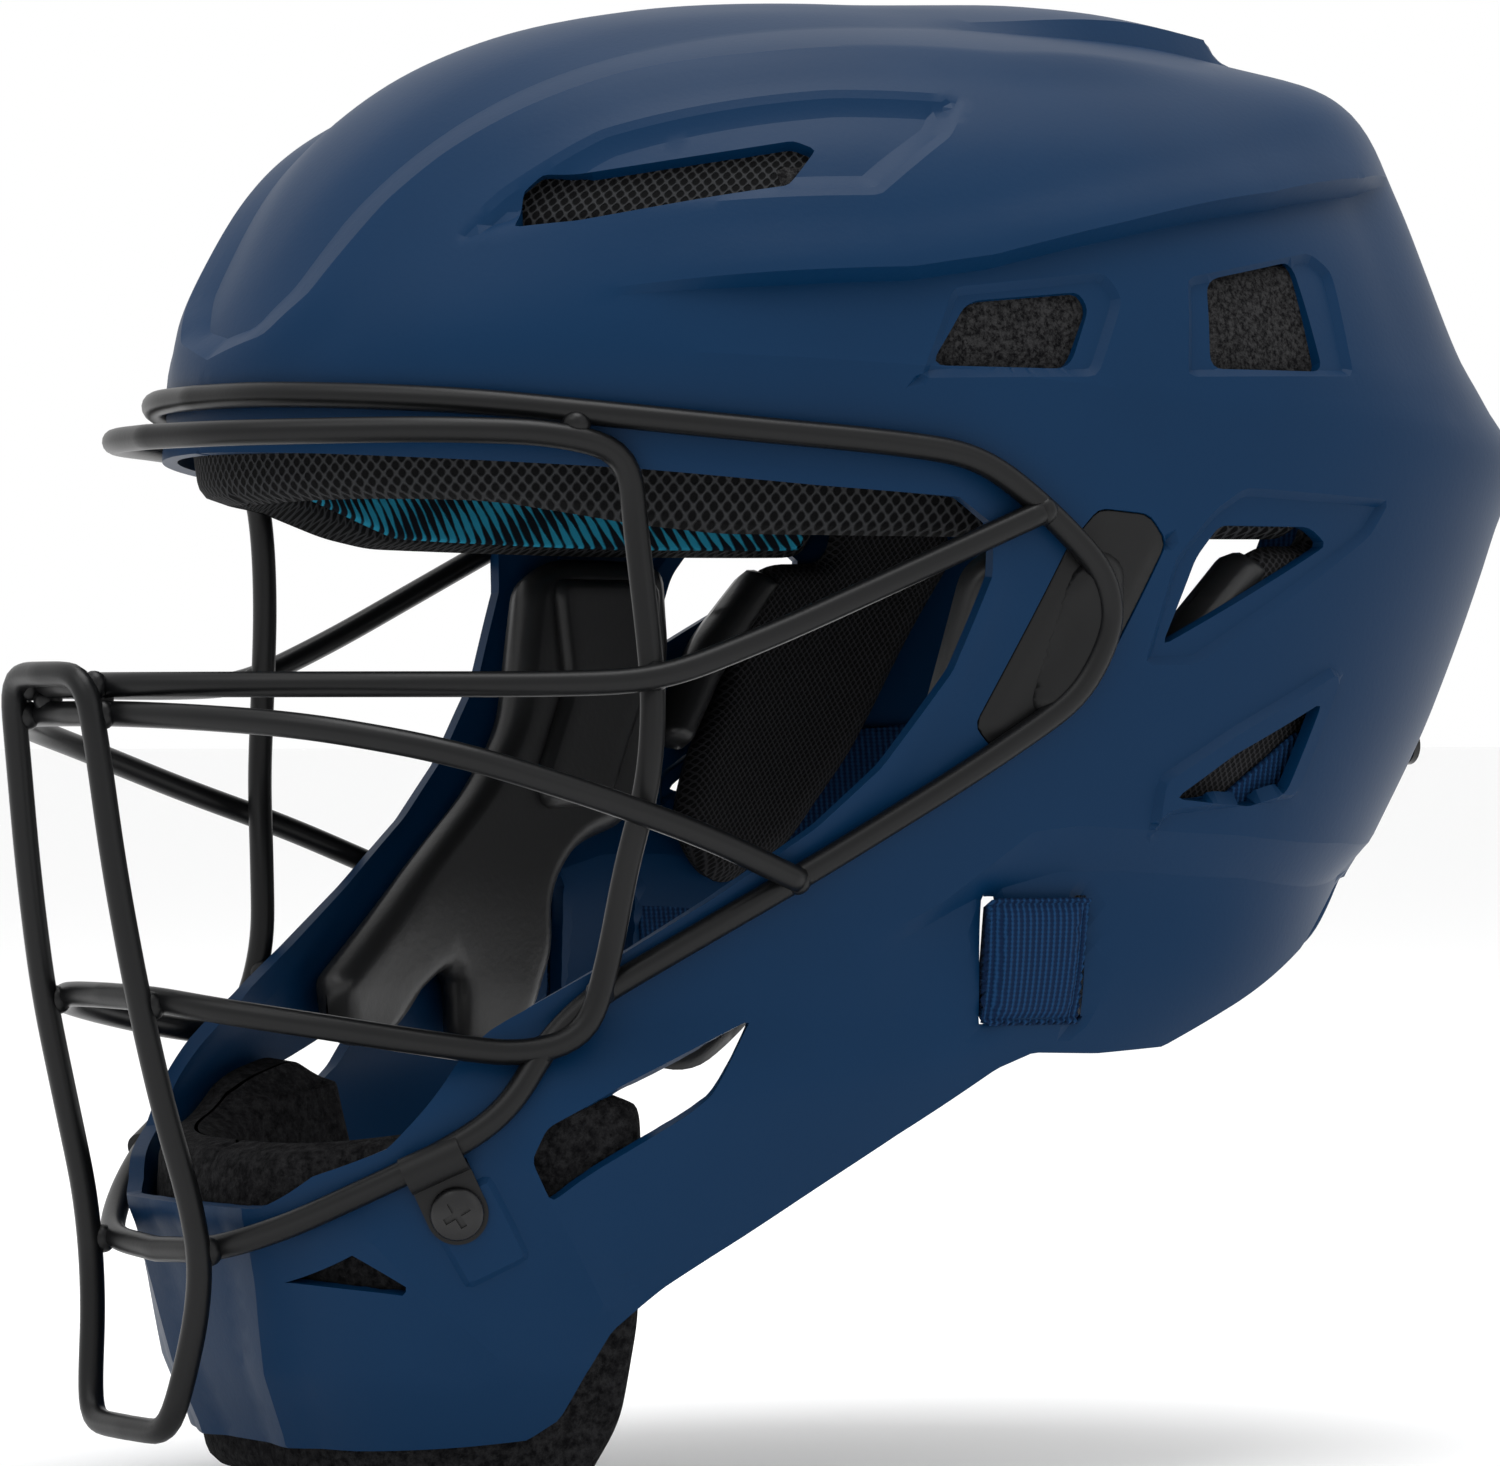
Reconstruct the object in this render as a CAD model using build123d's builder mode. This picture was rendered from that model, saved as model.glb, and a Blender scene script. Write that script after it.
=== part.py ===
from build123d import *
from math import cos, pi, sin, tan, radians
import os

os.makedirs("parts", exist_ok=True)

# The helmet stands upright on +Z, faces -Y, and +X is the wearer's left. X = 0 is its middle plane.

# ---------------------------------------------------------------- driving sizes, in millimetres
shell_height = 299.5        # from the chin pad's foot to the crown
shell_half_width = 102.0    # at the ears
shell_length = 296.0        # from the chin to the back of the dome
shell_wall = 3.0
wire_radius = 2.5           # cage wire with its vinyl coat
fit_gap = 0.3               # air between neighbouring pieces
patch_thickness = 1.2       # hook-and-loop patch between shell and pad
pad_thickness = 11.0
jaw_pad_thickness = 10.0
chin_pad_thickness = 13.0
strap_thickness = 1.5
side_strap_width = 25.0
rear_strap_width = 20.0
rear_opening_half_width = 58.0
rear_opening_top = 212.0
plate_half_width = 46.0     # the floating back plate
clip_thickness = 1.2
clip_width = 12.0
screw_radius = 2.1
screw_head_radius = 5.2
temple_pocket_depth = 1.3
temple_clamp_height = 6.2   # how far the wire clamps stand off the shell
rivet_radius = 1.8
rivet_head_radius = 4.0
middle_shift = 4.1          # puts the origin under the middle of the whole helmet, cage included

# The helmet's outline is given for these three sizes and stretched to the sizes above.
outline_height = 299.5
outline_half_width = 102.0
outline_length = 296.0
grow_x = shell_half_width / outline_half_width
grow_y = shell_length / outline_length
grow_z = shell_height / outline_height

# Levels of the shell, from chin to crown:
# height, front, back, half width, where it is widest, roundness in front, roundness behind
levels = [
    (0, -121, -8, 56, -62, 2.9, 2.2),
    (20, -126, 0, 60, -60, 2.9, 2.2),
    (40, -131, 35, 64, -50, 2.8, 2.2),
    (58, -135, 75, 73, -20, 2.6, 2.2),
    (78, -134, 95, 83, 5, 2.4, 2.2),
    (96, -134, 108, 88, 28, 1.95, 2.2),
    (120, -133, 120, 93, 38, 1.85, 2.2),
    (155, -132, 141, 99, 42, 1.85, 2.2),
    (190, -131, 158, 102, 42, 1.85, 2.2),
    (206, -131, 165, 102, 42, 2.0, 2.2),
    (218, -130, 156, 102, 40, 2.1, 2.2),
    (228, -127, 149, 101, 36, 2.15, 2.2),
    (245, -118, 142, 97, 32, 2.15, 2.2),
    (262, -106, 137, 88, 28, 2.15, 2.2),
    (278, -88, 126, 72, 25, 2.15, 2.2),
    (289, -67, 98, 53, 20, 2.15, 2.2),
    (296, -40, 64, 33, 15, 2.1, 2.1),
    (299.5, -5, 28, 12, 12, 2.0, 2.0),
]
full_inset_half_width = 60.0    # narrower levels near the crown shrink by less
ring_points = 20
ring_turns = [step / ring_points for step in range(ring_points + 1)]


def side(y, z):
    """A side-view point of the outline, stretched to the driving sizes."""
    return (y * grow_y, z * grow_z)


def sized_level(level, inset):
    """One level at its real size, moved in from the outer face by inset."""
    height, front, back, half, widest, round_front, round_back = level
    half_length = (back - front) / 2 * grow_y
    inset_x = inset * min(1, half * grow_x / full_inset_half_width)
    inset_y = inset * min(1, half_length / full_inset_half_width)
    return (
        height * grow_z * (shell_height - inset) / shell_height,
        front * grow_y + inset_y,
        back * grow_y - inset_y,
        half * grow_x - inset_x,
        widest * grow_y,
        round_front,
        round_back,
    )


def ring(level, inset):
    """Points round one level, from the front and back to it."""
    _, front, back, half, widest, round_front, round_back = sized_level(level, inset)
    points = []
    for step in range(ring_points):
        turn = 2 * pi * step / ring_points
        across = sin(turn)
        ahead = cos(turn)
        roundness = round_front if ahead > 0 else round_back
        reach = widest - front if ahead > 0 else back - widest
        x = half * abs(across) ** (2 / roundness) * (1 if across > 0 else -1)
        y = widest - reach * abs(ahead) ** (2 / roundness) * (1 if ahead > 0 else -1)
        points.append((x, y))
    return points


def form(inset):
    """The closed helmet form whose face lies inset inside the shell's outer face."""
    with BuildPart() as body:
        for level in levels:
            with BuildSketch(Plane.XY.offset(sized_level(level, inset)[0])):
                with BuildLine():
                    add(Edge.make_spline(ring(level, inset), periodic=True, parameters=ring_turns))
                make_face()
        loft(ruled=True)
    return body.part


def half_width_at(y, z, out=0.0):
    """Half width of the form at a side-view point, out being how far it stands off the face."""
    rows = [sized_level(level, -out) for level in levels]
    low = rows[0]
    high = rows[-1]
    for below, above in zip(rows[:-1], rows[1:]):
        if below[0] <= z <= above[0]:
            low = below
            high = above
    share = (z - low[0]) / (high[0] - low[0])
    _, front, back, half, widest, round_front, round_back = [
        a + (b - a) * share for a, b in zip(low, high)
    ]
    reach = widest - front if y < widest else back - widest
    roundness = round_front if y < widest else round_back
    along = min(1.0, abs(y - widest) / reach)
    return half * (1 - along ** roundness) ** (1 / roundness)


def on_face(y, z, out=0.0):
    """The point on the wearer's left where a side-view point meets the form's face."""
    y, z = side(y, z)
    return Vector(half_width_at(y, z, out), y, z)


def face_normal(y, z):
    """Outward direction of the form's face at a side-view point."""
    step = 1.0
    along = on_face(y + step, z) - on_face(y - step, z)
    upward = on_face(y, z + step) - on_face(y, z - step)
    return along.cross(upward).normalized()


def side_prism(outline, x_from, x_to, corner=0.0):
    """A side-view outline made solid across the helmet, from x_from to x_to."""
    with BuildPart() as prism:
        with BuildSketch(Plane.YZ.offset(x_from)) as profile:
            with BuildLine():
                Polyline(*[side(y, z) for y, z in outline], close=True)
            make_face()
            if corner > 0:
                fillet(profile.vertices(), corner)
        extrude(amount=x_to - x_from)
    return prism.part


def bend_radii(points):
    """The largest tidy bend at each corner of a wire's route."""
    corners = [Vector(*point) for point in points]
    radii = []
    for before, here, after in zip(corners[:-2], corners[1:-1], corners[2:]):
        run_in = here - before
        run_out = after - here
        half_turn = radians(run_in.get_angle(run_out)) / 2
        shorter = min(run_in.length, run_out.length)
        radii.append(0.45 * shorter / tan(half_turn))
    return radii


def mirrored_wire(points):
    """A round cage wire along points on the wearer's left, repeated on the right."""
    with BuildPart() as rod:
        with BuildLine() as route:
            FilletPolyline(*points, radius=bend_radii(points))
        with BuildSketch(Plane(origin=route.line @ 0, z_dir=route.line % 0)):
            Circle(wire_radius)
        sweep(path=route.line)
        mirror(about=Plane.YZ)
    return rod.part


def right_of(left_piece):
    """The wearer's right-hand copy of a left-hand piece."""
    with BuildPart() as copy:
        mirror(left_piece, about=Plane.YZ)
    return copy.part


pieces = {}
across = 2 * shell_half_width
pad_inset = shell_wall + patch_thickness + 2 * fit_gap
pad_depth = pad_inset + pad_thickness

outer_form = form(0)
inner_form = form(shell_wall)
strap_outer_form = form(shell_wall + fit_gap)
strap_inner_form = form(shell_wall + fit_gap + strap_thickness)
pad_outer_form = form(pad_inset)
pad_inner_form = form(pad_depth)
pocket_form = form(temple_pocket_depth)

# ---------------------------------------------------------------- side-view outlines
face_port = [
    (-190, 205), (-133, 204.5), (-112, 203), (-76, 200.6), (-44, 197.5), (-17, 195.4),
    (-10, 190), (-10, 180), (-17, 161.6), (-29.7, 143.1), (-41.3, 131.5), (-60, 117.5),
    (-78, 105.3), (-91, 97.1), (-98.6, 91.8), (-104.7, 86.3), (-110.7, 78.6), (-117, 70.1),
    (-126.4, 64.6), (-131.6, 58), (-190, 55),
]
below_hem = [
    (-190, -20), (-190, 9), (-118, 10.5), (-90, 13), (-84, 17), (-80, 26), (-75, 34.5),
    (-65, 42.4), (-50, 52), (-21, 71.5), (-1, 84), (7, 87), (22, 86.5), (39, 87.4),
    (55, 94.5), (81, 105.6), (92, 113), (190, 170), (190, -20),
]
jaw_window = [
    (-52, 94.5), (-61.6, 80), (-66, 76.5), (-82, 66.3), (-90.5, 60), (-94.5, 68), (-92, 74.2), (-78.4, 82.1),
]
ear_vent = [(28.5, 166.5), (35.5, 184), (41, 190.5), (64, 190.5), (69, 187)]
lower_vent = [(32.5, 137), (45.5, 145.5), (67.5, 156), (60, 138), (52.5, 135)]
front_quad_vent = [(-22.3, 221), (-14, 233), (8.5, 235.5), (10.5, 232), (5, 221)]
rear_quad_vent = [(39, 222), (41, 239), (66, 243.5), (67.5, 223)]
top_slot = [(-93, 248), (-88, 254), (-40, 265), (-38, 263.5), (-50, 255)]
chin_vent = [(-128.6, 43.8), (-121.9, 49.6), (-113.6, 43.6), (-114, 42)]
temple_recess = [
    (12.7, 193.5), (24, 192.5), (28, 187), (13, 157.5), (3, 150.5), (-7, 146), (-11.5, 151), (6, 186),
]
temple_screw_spots = [(18.5, 187.5), (-2.5, 153.5)]
strap_slot_half = 1.5
strap_slots = [-4.0, 16.0]
strap_slot_middle = 105.0
chin_screw_spot = (-106.5, 58.0)
chin_clip_wire_spot = (-111.8, 67.4)

# ---------------------------------------------------------------- screws that hold the cage at the chin
chin_screw_point = on_face(*chin_screw_spot)
chin_normal = face_normal(*chin_screw_spot)
chin_wire_point = on_face(*chin_clip_wire_spot, wire_radius + fit_gap)
towards_wire = chin_wire_point - chin_screw_point
wire_rise = towards_wire.dot(chin_normal)
wire_reach = (towards_wire - chin_normal * wire_rise).length
clip_plane = Plane(
    origin=chin_screw_point,
    x_dir=towards_wire.cross(chin_normal),
    z_dir=chin_normal,
)
clip_base = fit_gap
clip_top = clip_base + clip_thickness
chin_screw_length = shell_wall + 3.5
head_rise = 2.6

with BuildPart() as chin_screw:
    with BuildSketch(clip_plane.offset(clip_top)):
        Circle(screw_head_radius)
    extrude(amount=head_rise)
    fillet(chin_screw.edges().filter_by(GeomType.CIRCLE).sort_by(lambda e: (e @ 0 - chin_screw_point).dot(
        chin_normal))[-1:], head_rise * 0.7)
    with BuildSketch(clip_plane.offset(clip_top + head_rise)):
        Rectangle(5.2, 1.1)
        Rectangle(1.1, 5.2)
    extrude(amount=-1.2, mode=Mode.SUBTRACT)
    with BuildSketch(clip_plane.offset(clip_top)):
        Circle(screw_radius)
    extrude(amount=-(clip_top + chin_screw_length))

nut_thickness = 2.0
nut_radius = 4.2
nut_base = -(shell_wall + 1.0)
with BuildPart() as chin_nut:
    with BuildSketch(clip_plane.offset(nut_base)):
        RegularPolygon(nut_radius, 6)
        Circle(screw_radius, mode=Mode.SUBTRACT)
    extrude(amount=-nut_thickness)

with BuildPart() as chin_clip_left:
    with BuildSketch(clip_plane.offset(clip_base)):
        with Locations((0, (wire_reach - wire_radius) / 2)):
            Rectangle(clip_width, wire_reach - wire_radius)
        Circle(clip_width / 2)
        Circle(screw_radius + 0.1, mode=Mode.SUBTRACT)
    extrude(amount=clip_thickness)
    loop_plane = Plane(
        origin=clip_plane.from_local_coords((-clip_width / 2, wire_reach, wire_rise)),
        x_dir=clip_plane.y_dir,
        z_dir=clip_plane.x_dir,
    )
    with BuildSketch(loop_plane):
        Circle(wire_radius + clip_thickness)
        with Locations((0, -(wire_radius + clip_thickness + wire_rise - clip_base))):
            Rectangle(4 * clip_width, 2 * (wire_radius + clip_thickness), mode=Mode.SUBTRACT)
        Circle(wire_radius, mode=Mode.SUBTRACT)
    extrude(amount=clip_width)

pieces["chin_clip_left"] = chin_clip_left.part
pieces["chin_clip_right"] = right_of(chin_clip_left.part)
with BuildPart() as chin_screws:
    add(chin_screw.part)
    mirror(chin_screw.part, about=Plane.YZ)
pieces["chin_screws"] = chin_screws.part
with BuildPart() as chin_nuts:
    add(chin_nut.part)
    mirror(chin_nut.part, about=Plane.YZ)
pieces["chin_nuts"] = chin_nuts.part


# ---------------------------------------------------------------- screws that hold the temple plates
temple_screw_radius = 1.5
temple_screw_head_radius = 3.0
temple_screw_head = 1.4
temple_axes = []
for y, z in temple_screw_spots:
    point = on_face(y, z, -temple_pocket_depth)
    temple_axes.append(Plane(origin=point, x_dir=(0, 0, 1), z_dir=face_normal(y, z)))
temple_head_seat = -(shell_wall - temple_pocket_depth) - 0.6
temple_screw_grip = 1.0     # how far each shank reaches past the shell's face into its plate


def temple_screw_set(radius, head_radius, head_end):
    """Both temple screws of one side: shanks into the plate, heads inside the shell."""
    screws = []
    for axis_plane in temple_axes:
        shank_end = temple_pocket_depth + temple_screw_grip
        with BuildPart() as screw:
            with BuildSketch(axis_plane.offset(shank_end)):
                Circle(radius)
            extrude(amount=temple_head_seat - shank_end)
            with BuildSketch(axis_plane.offset(temple_head_seat)):
                Circle(head_radius)
            extrude(amount=-head_end)
        screws.append(screw.part)
    return screws


temple_screws_left = temple_screw_set(temple_screw_radius, temple_screw_head_radius, temple_screw_head)
temple_screw_room = temple_screw_set(temple_screw_radius + 0.1, temple_screw_head_radius + 0.5, 2.5)
with BuildPart() as temple_screws:
    add(temple_screws_left)
    add([right_of(screw) for screw in temple_screws_left])
pieces["temple_screws"] = temple_screws.part

# ---------------------------------------------------------------- shell
opening_corner = 22.0
with BuildPart() as rear_opening:
    with BuildSketch(Plane.XZ) as opening_profile:
        with Locations((0, (rear_opening_top - 60) * grow_z)):
            Rectangle(2 * rear_opening_half_width, 120 * grow_z)
        fillet(opening_profile.vertices().group_by(Axis.Z)[-1], opening_corner)
    extrude(amount=-400)

window_corner = 2.0
sharp_corner = 0.6
left_cuts = []
for outline, x_from, corner in [
    (jaw_window, 20, sharp_corner), (ear_vent, 20, window_corner), (lower_vent, 20, window_corner),
    (front_quad_vent, 20, window_corner), (rear_quad_vent, 20, window_corner),
    (top_slot, 20, sharp_corner), (chin_vent, 10, sharp_corner),
]:
    left_cuts.append(side_prism(outline, x_from, across, corner))
for slot_y in strap_slots:
    half_slot = side_strap_width / 2 + 0.5
    slot = [
        (slot_y - strap_slot_half, strap_slot_middle - half_slot),
        (slot_y + strap_slot_half, strap_slot_middle - half_slot),
        (slot_y + strap_slot_half, strap_slot_middle + half_slot),
        (slot_y - strap_slot_half, strap_slot_middle + half_slot),
    ]
    left_cuts.append(side_prism(slot, 20, across))
with BuildPart() as recess:
    add(outer_form)
    add(pocket_form, mode=Mode.SUBTRACT)
    add(side_prism(temple_recess, 20, across), mode=Mode.INTERSECT)
with BuildPart() as chin_screw_hole:
    with BuildSketch(clip_plane.offset(6)):
        Circle(screw_radius + 0.05)
    extrude(amount=-16)
left_cuts += [recess.part, chin_screw_hole.part]

with BuildPart() as shell:
    add(outer_form)
    add(
        [inner_form, side_prism(face_port, -across, across), side_prism(below_hem, -across, across),
         rear_opening.part],
        mode=Mode.SUBTRACT,
    )
    add(left_cuts + [right_of(cut) for cut in left_cuts], mode=Mode.SUBTRACT)
pieces["shell"] = shell.part

# ---------------------------------------------------------------- cage
wire_stand = wire_radius + fit_gap + 0.6


def route(points):
    """Wire points (x, y, z) at the outline's size, stretched to the driving sizes."""
    return [(x * grow_x, *side(y, z)) for x, y, z in points]


edge_track = [
    (-118, 214.5), (-103, 213.5), (-84, 211.2), (-58, 208.3), (-33, 206), (-14, 203.6), (0.5, 193),
    (12.5, 181.5), (15.5, 172), (9.5, 157.5), (-11, 143.5), (-42, 123.5), (-64, 109.5), (-81, 98.5),
    (-89.5, 89.5), (-99, 76.5), (-111.8, 67.4), (-122, 60.5),
]
track_steps = 3
perimeter_route = route([(0, -135, 215.2), (22, -132.5, 215.2)])
for start, end in zip(edge_track[:-1], edge_track[1:]):
    for step in range(track_steps):
        share = step / track_steps
        y = start[0] + (end[0] - start[0]) * share
        z = start[1] + (end[1] - start[1]) * share
        perimeter_route.append(tuple(on_face(y, z, wire_stand)))
perimeter_route.append(tuple(on_face(*edge_track[-1], wire_stand)))
perimeter_route += route([(36, -134, 55), (22, -141, 50), (0, -141.5, 49)])
perimeter_route[0] = (0, perimeter_route[1][1] - 2, perimeter_route[1][2])
cage_perimeter_wire = mirrored_wire(perimeter_route)

centre_loop_route = route([
    (0, -166.3, 161), (16, -165.2, 161), (17.2, -163.2, 147), (18.6, -160.2, 123), (20.3, -156, 98.7),
    (20.8, -151, 78), (22.4, -146, 60), (23.4, -144, 48), (21.8, -144.3, 36), (18.9, -146.4, 22),
    (16, -147.6, 14.5), (0, -148, 14.5),
])
cage_centre_loop = mirrored_wire(centre_loop_route)

brow_loop_route = route([
    (0, -143.5, 207.4), (22, -140.5, 207.4), (42, -127.5, 207.5), (58, -112.5, 207.6), (71.5, -94.5, 206.9),
    (75.8, -79.5, 203.5), (75, -77.8, 190), (76.4, -76.5, 175), (79, -75.8, 157), (78.6, -76.8, 140),
    (73.8, -78.8, 125), (69.8, -80.5, 106), (69.5, -85, 91.5), (63.5, -96, 88), (57.5, -112, 90.3),
    (47, -131, 93.8), (33, -146, 96.7), (19, -151.6, 98.5), (0, -152.6, 98.7),
])
cage_brow_loop = mirrored_wire(brow_loop_route)

eye_bar_end = on_face(-1.2, 192.6, wire_stand + 1.0)
eye_bar_route = [(0, *side(-160.8, 158.9))]
eye_bar_route += route([
    (16, -159.6, 158.9), (40, -144, 158.9), (62, -121, 158.9), (76, -98, 158.9), (84.2, -78, 159.6),
    (89.5, -54, 169),
])
eye_bar_route += [tuple(eye_bar_end)]
cage_eye_bar = mirrored_wire(eye_bar_route)

nose_bar_end = on_face(-44.5, 121.8, wire_stand + 1.5)
nose_bar_route = route([
    (0, -160.2, 153.4), (18, -159.2, 153.4), (40, -152, 152.6), (60, -140.5, 151), (76, -119, 146.3),
    (84, -91, 137.5), (84.5, -67, 129.8),
])
nose_bar_route += [tuple(nose_bar_end)]
cage_nose_bar = mirrored_wire(nose_bar_route)

pieces["cage_perimeter_wire"] = cage_perimeter_wire
pieces["cage_centre_loop"] = cage_centre_loop
pieces["cage_brow_loop"] = cage_brow_loop
pieces["cage_eye_bar"] = cage_eye_bar
pieces["cage_nose_bar"] = cage_nose_bar

# ---------------------------------------------------------------- temple plates that clamp the cage
clamp_form = form(-temple_clamp_height)
clamp_fingers = [
    [(4, 184), (9, 188), (21, 178), (19, 172)],
    [(0, 158), (4, 165), (15, 160), (10, 152)],
]
clamps = []
for finger in clamp_fingers:
    with BuildPart() as clamp:
        add(clamp_form)
        add(outer_form, mode=Mode.SUBTRACT)
        add(side_prism(finger, 20, across), mode=Mode.INTERSECT)
    clamps.append(clamp.part)
with BuildPart() as temple_plate_left:
    add(outer_form)
    add(pocket_form, mode=Mode.SUBTRACT)
    add(side_prism(temple_recess, 20, across), mode=Mode.INTERSECT)
    add(clamps)
    add(cage_perimeter_wire, mode=Mode.SUBTRACT)
    add(temple_screws_left, mode=Mode.SUBTRACT)
pieces["temple_plate_left"] = temple_plate_left.part
pieces["temple_plate_right"] = right_of(temple_plate_left.part)

# ---------------------------------------------------------------- pads
def liner(outline, x_from, x_to, outside=None, inside=None):
    """A pad between two inner forms, cut to a side-view outline on the wearer's left."""
    with BuildPart() as pad:
        add(outside or pad_outer_form)
        add(inside or pad_inner_form, mode=Mode.SUBTRACT)
        add(side_prism(outline, x_from, x_to), mode=Mode.INTERSECT)
    return pad.part


jaw_pad_form = form(pad_inset + jaw_pad_thickness)
chin_pad_form = form(pad_inset + chin_pad_thickness)
patch_outer_form = form(shell_wall + fit_gap)
patch_inner_form = form(shell_wall + fit_gap + patch_thickness)

forehead_outline = [(-190, 197), (-100, 193), (-34, 186), (-30, 243), (-190, 243)]
crown_side_outline = [(-190, 247), (-30, 247), (40, 246), (100, 246), (190, 246), (190, 330), (-190, 330)]
upper_side_outline = [(-27, 206), (98, 206), (98, 242), (-27, 242)]
ear_pad_outline = [(36, 118), (70, 197), (96, 199), (110, 190), (96, 150), (88, 122), (70, 112), (46, 110)]
cheek_strip_outline = [(27, 142), (36.5, 142), (66, 196), (55, 197)]
jaw_pad_outline = [
    (-13, 187), (23, 187), (27, 165), (19, 138), (6, 118), (2, 92), (-14, 84), (-26, 96), (-42, 108),
    (-50, 98), (-62, 99), (-64, 106), (-44, 124), (-26, 140), (-14, 160),
]
chin_pad_outline = [
    (-190, -2), (-74, -2), (-66, 14), (-64, 36), (-70, 62), (-74, 80), (-84, 88), (-100, 84),
    (-112, 74), (-190, 62),
]
crown_gap = 4.0
crown_pad_half_width = 30.0

with BuildPart() as forehead_pad:
    add(liner(forehead_outline, -across, across))
pieces["forehead_pad"] = forehead_pad.part

strip_inner_form = form(pad_depth + fit_gap + 1.5)
strip_outer_form = form(pad_depth + fit_gap)
strip_outline = [(-190, 199), (-100, 195), (-48, 190), (-46, 210), (-190, 216)]
with BuildPart() as forehead_strip:
    add(liner(strip_outline, -across, across, strip_outer_form, strip_inner_form))
pieces["forehead_strip"] = forehead_strip.part

with BuildPart() as crown_pad:
    add(liner([(-78, 247), (112, 247), (112, 330), (-78, 330)], -crown_pad_half_width, crown_pad_half_width))
pieces["crown_pad"] = crown_pad.part

with BuildPart() as nape_pad:
    add(liner([(101, 216), (190, 216), (190, 243), (101, 243)], -44, 44))
pieces["nape_pad"] = nape_pad.part

left_pads = {
    "crown_side_pad": liner(crown_side_outline, crown_pad_half_width + crown_gap, across),
    "upper_side_pad": liner(upper_side_outline, 20, across),
    "ear_pad": liner(ear_pad_outline, rear_opening_half_width + 3, across),
    "cheek_strip_pad": liner(cheek_strip_outline, 20, across, pad_outer_form, jaw_pad_form),
    "jaw_pad": liner(jaw_pad_outline, 20, across, pad_outer_form, jaw_pad_form),
}

# hook-and-loop patches, one or two behind each pad
patch_size = 16.0
patch_spots = {
    "crown_side_pad": [(-40, 256), (30, 262)],
    "upper_side_pad": [(22, 229), (82, 229)],
    "ear_pad": [(72, 162), (82, 185)],
    "jaw_pad": [(4, 176), (4, 139)],
    "forehead_pad": [(-70, 222)],
}
patches = []
for spots in patch_spots.values():
    for y, z in spots:
        half = patch_size / 2
        square = [(y - half, z - half), (y + half, z - half), (y + half, z + half), (y - half, z + half)]
        patches.append(liner(square, 20, across, patch_outer_form, patch_inner_form))
with BuildPart() as hook_patches:
    add(patches + [right_of(patch) for patch in patches])
pieces["hook_patches"] = hook_patches.part

with BuildPart() as screw_clearance:
    add(temple_screw_room)
    with BuildSketch(clip_plane.offset(nut_base + 0.2)):
        Circle(nut_radius + 0.8)
    extrude(amount=-nut_thickness - 1.6)

with BuildPart() as chin_pad:
    add(liner(chin_pad_outline, -across, across, pad_outer_form, chin_pad_form))
    add(screw_clearance.part, mode=Mode.SUBTRACT)
    mirror(screw_clearance.part, about=Plane.YZ, mode=Mode.SUBTRACT)
pieces["chin_pad"] = chin_pad.part

# ---------------------------------------------------------------- elastic straps
strap_end_x = plate_half_width - 5.0
plate_middle = 141.0
side_strap_outline = [
    (14, strap_slot_middle - side_strap_width / 2), (18, strap_slot_middle - side_strap_width / 2),
    (76, plate_middle - 17), (190, plate_middle - 8), (190, plate_middle + 16),
    (66, plate_middle + 8), (14, strap_slot_middle + side_strap_width / 2),
]
strap_patch = [
    (strap_slots[0] - 0.75, strap_slot_middle - side_strap_width / 2),
    (strap_slots[1] + 0.75, strap_slot_middle - side_strap_width / 2),
    (strap_slots[1] + 0.75, strap_slot_middle + side_strap_width / 2),
    (strap_slots[0] - 0.75, strap_slot_middle + side_strap_width / 2),
]
strap_pass_half = 0.75
loop_outer_form = form(-fit_gap - strap_thickness)
loop_inner_form = form(-fit_gap)
with BuildPart() as side_strap_left:
    add(liner(side_strap_outline, strap_end_x, across, strap_outer_form, strap_inner_form))
    add(liner(strap_patch, 20, across, loop_outer_form, loop_inner_form))
    for slot_y in strap_slots:
        low = strap_slot_middle - side_strap_width / 2
        high = strap_slot_middle + side_strap_width / 2
        passage = [
            (slot_y - strap_pass_half, low), (slot_y + strap_pass_half, low),
            (slot_y + strap_pass_half, high), (slot_y - strap_pass_half, high),
        ]
        add(liner(passage, 20, across, loop_outer_form, strap_inner_form))

with BuildPart() as rear_strap_left:
    add(liner([(60, 152), (190, 152), (190, 236), (60, 236)], 16, 16 + rear_strap_width,
              strap_outer_form, strap_inner_form))

# ---------------------------------------------------------------- floating back plate
plate_bottom = 104.0
plate_top = 166.0
plate_corner = 12.0


def back_outline(shrink):
    """The back plate's outline seen from behind, made smaller all round by shrink."""
    with BuildPart() as block:
        with BuildSketch(Plane.XZ) as profile:
            with Locations((0, (plate_bottom + plate_top) / 2 * grow_z)):
                Rectangle(2 * (plate_half_width - shrink), (plate_top - plate_bottom) * grow_z - 2 * shrink)
            fillet(profile.vertices(), plate_corner)
        extrude(amount=-400)
    return block.part


rivet_spots = [(26.0, 160.0), (plate_half_width - 2.5, 147.0)]
rivet_head = 1.4


def rivets(spots, head_out, radius, head_radius, deeper=0.0):
    """Rivets along Y through the back wall, mirrored, each a separate solid."""
    solids = []
    for x, z in spots:
        start = Plane(origin=(x, 0, z * grow_z), x_dir=(1, 0, 0), z_dir=(0, 1, 0))
        with BuildPart() as rivet:
            depth = shell_wall + strap_thickness + fit_gap + deeper
            with BuildSketch(start.offset(back_of(x, z) - depth)):
                Circle(radius)
            extrude(amount=depth + head_out)
            with BuildSketch(start.offset(back_of(x, z) + head_out)):
                Circle(head_radius)
            extrude(amount=rivet_head)
        solids += [rivet.part, right_of(rivet.part)]
    return solids


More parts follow.
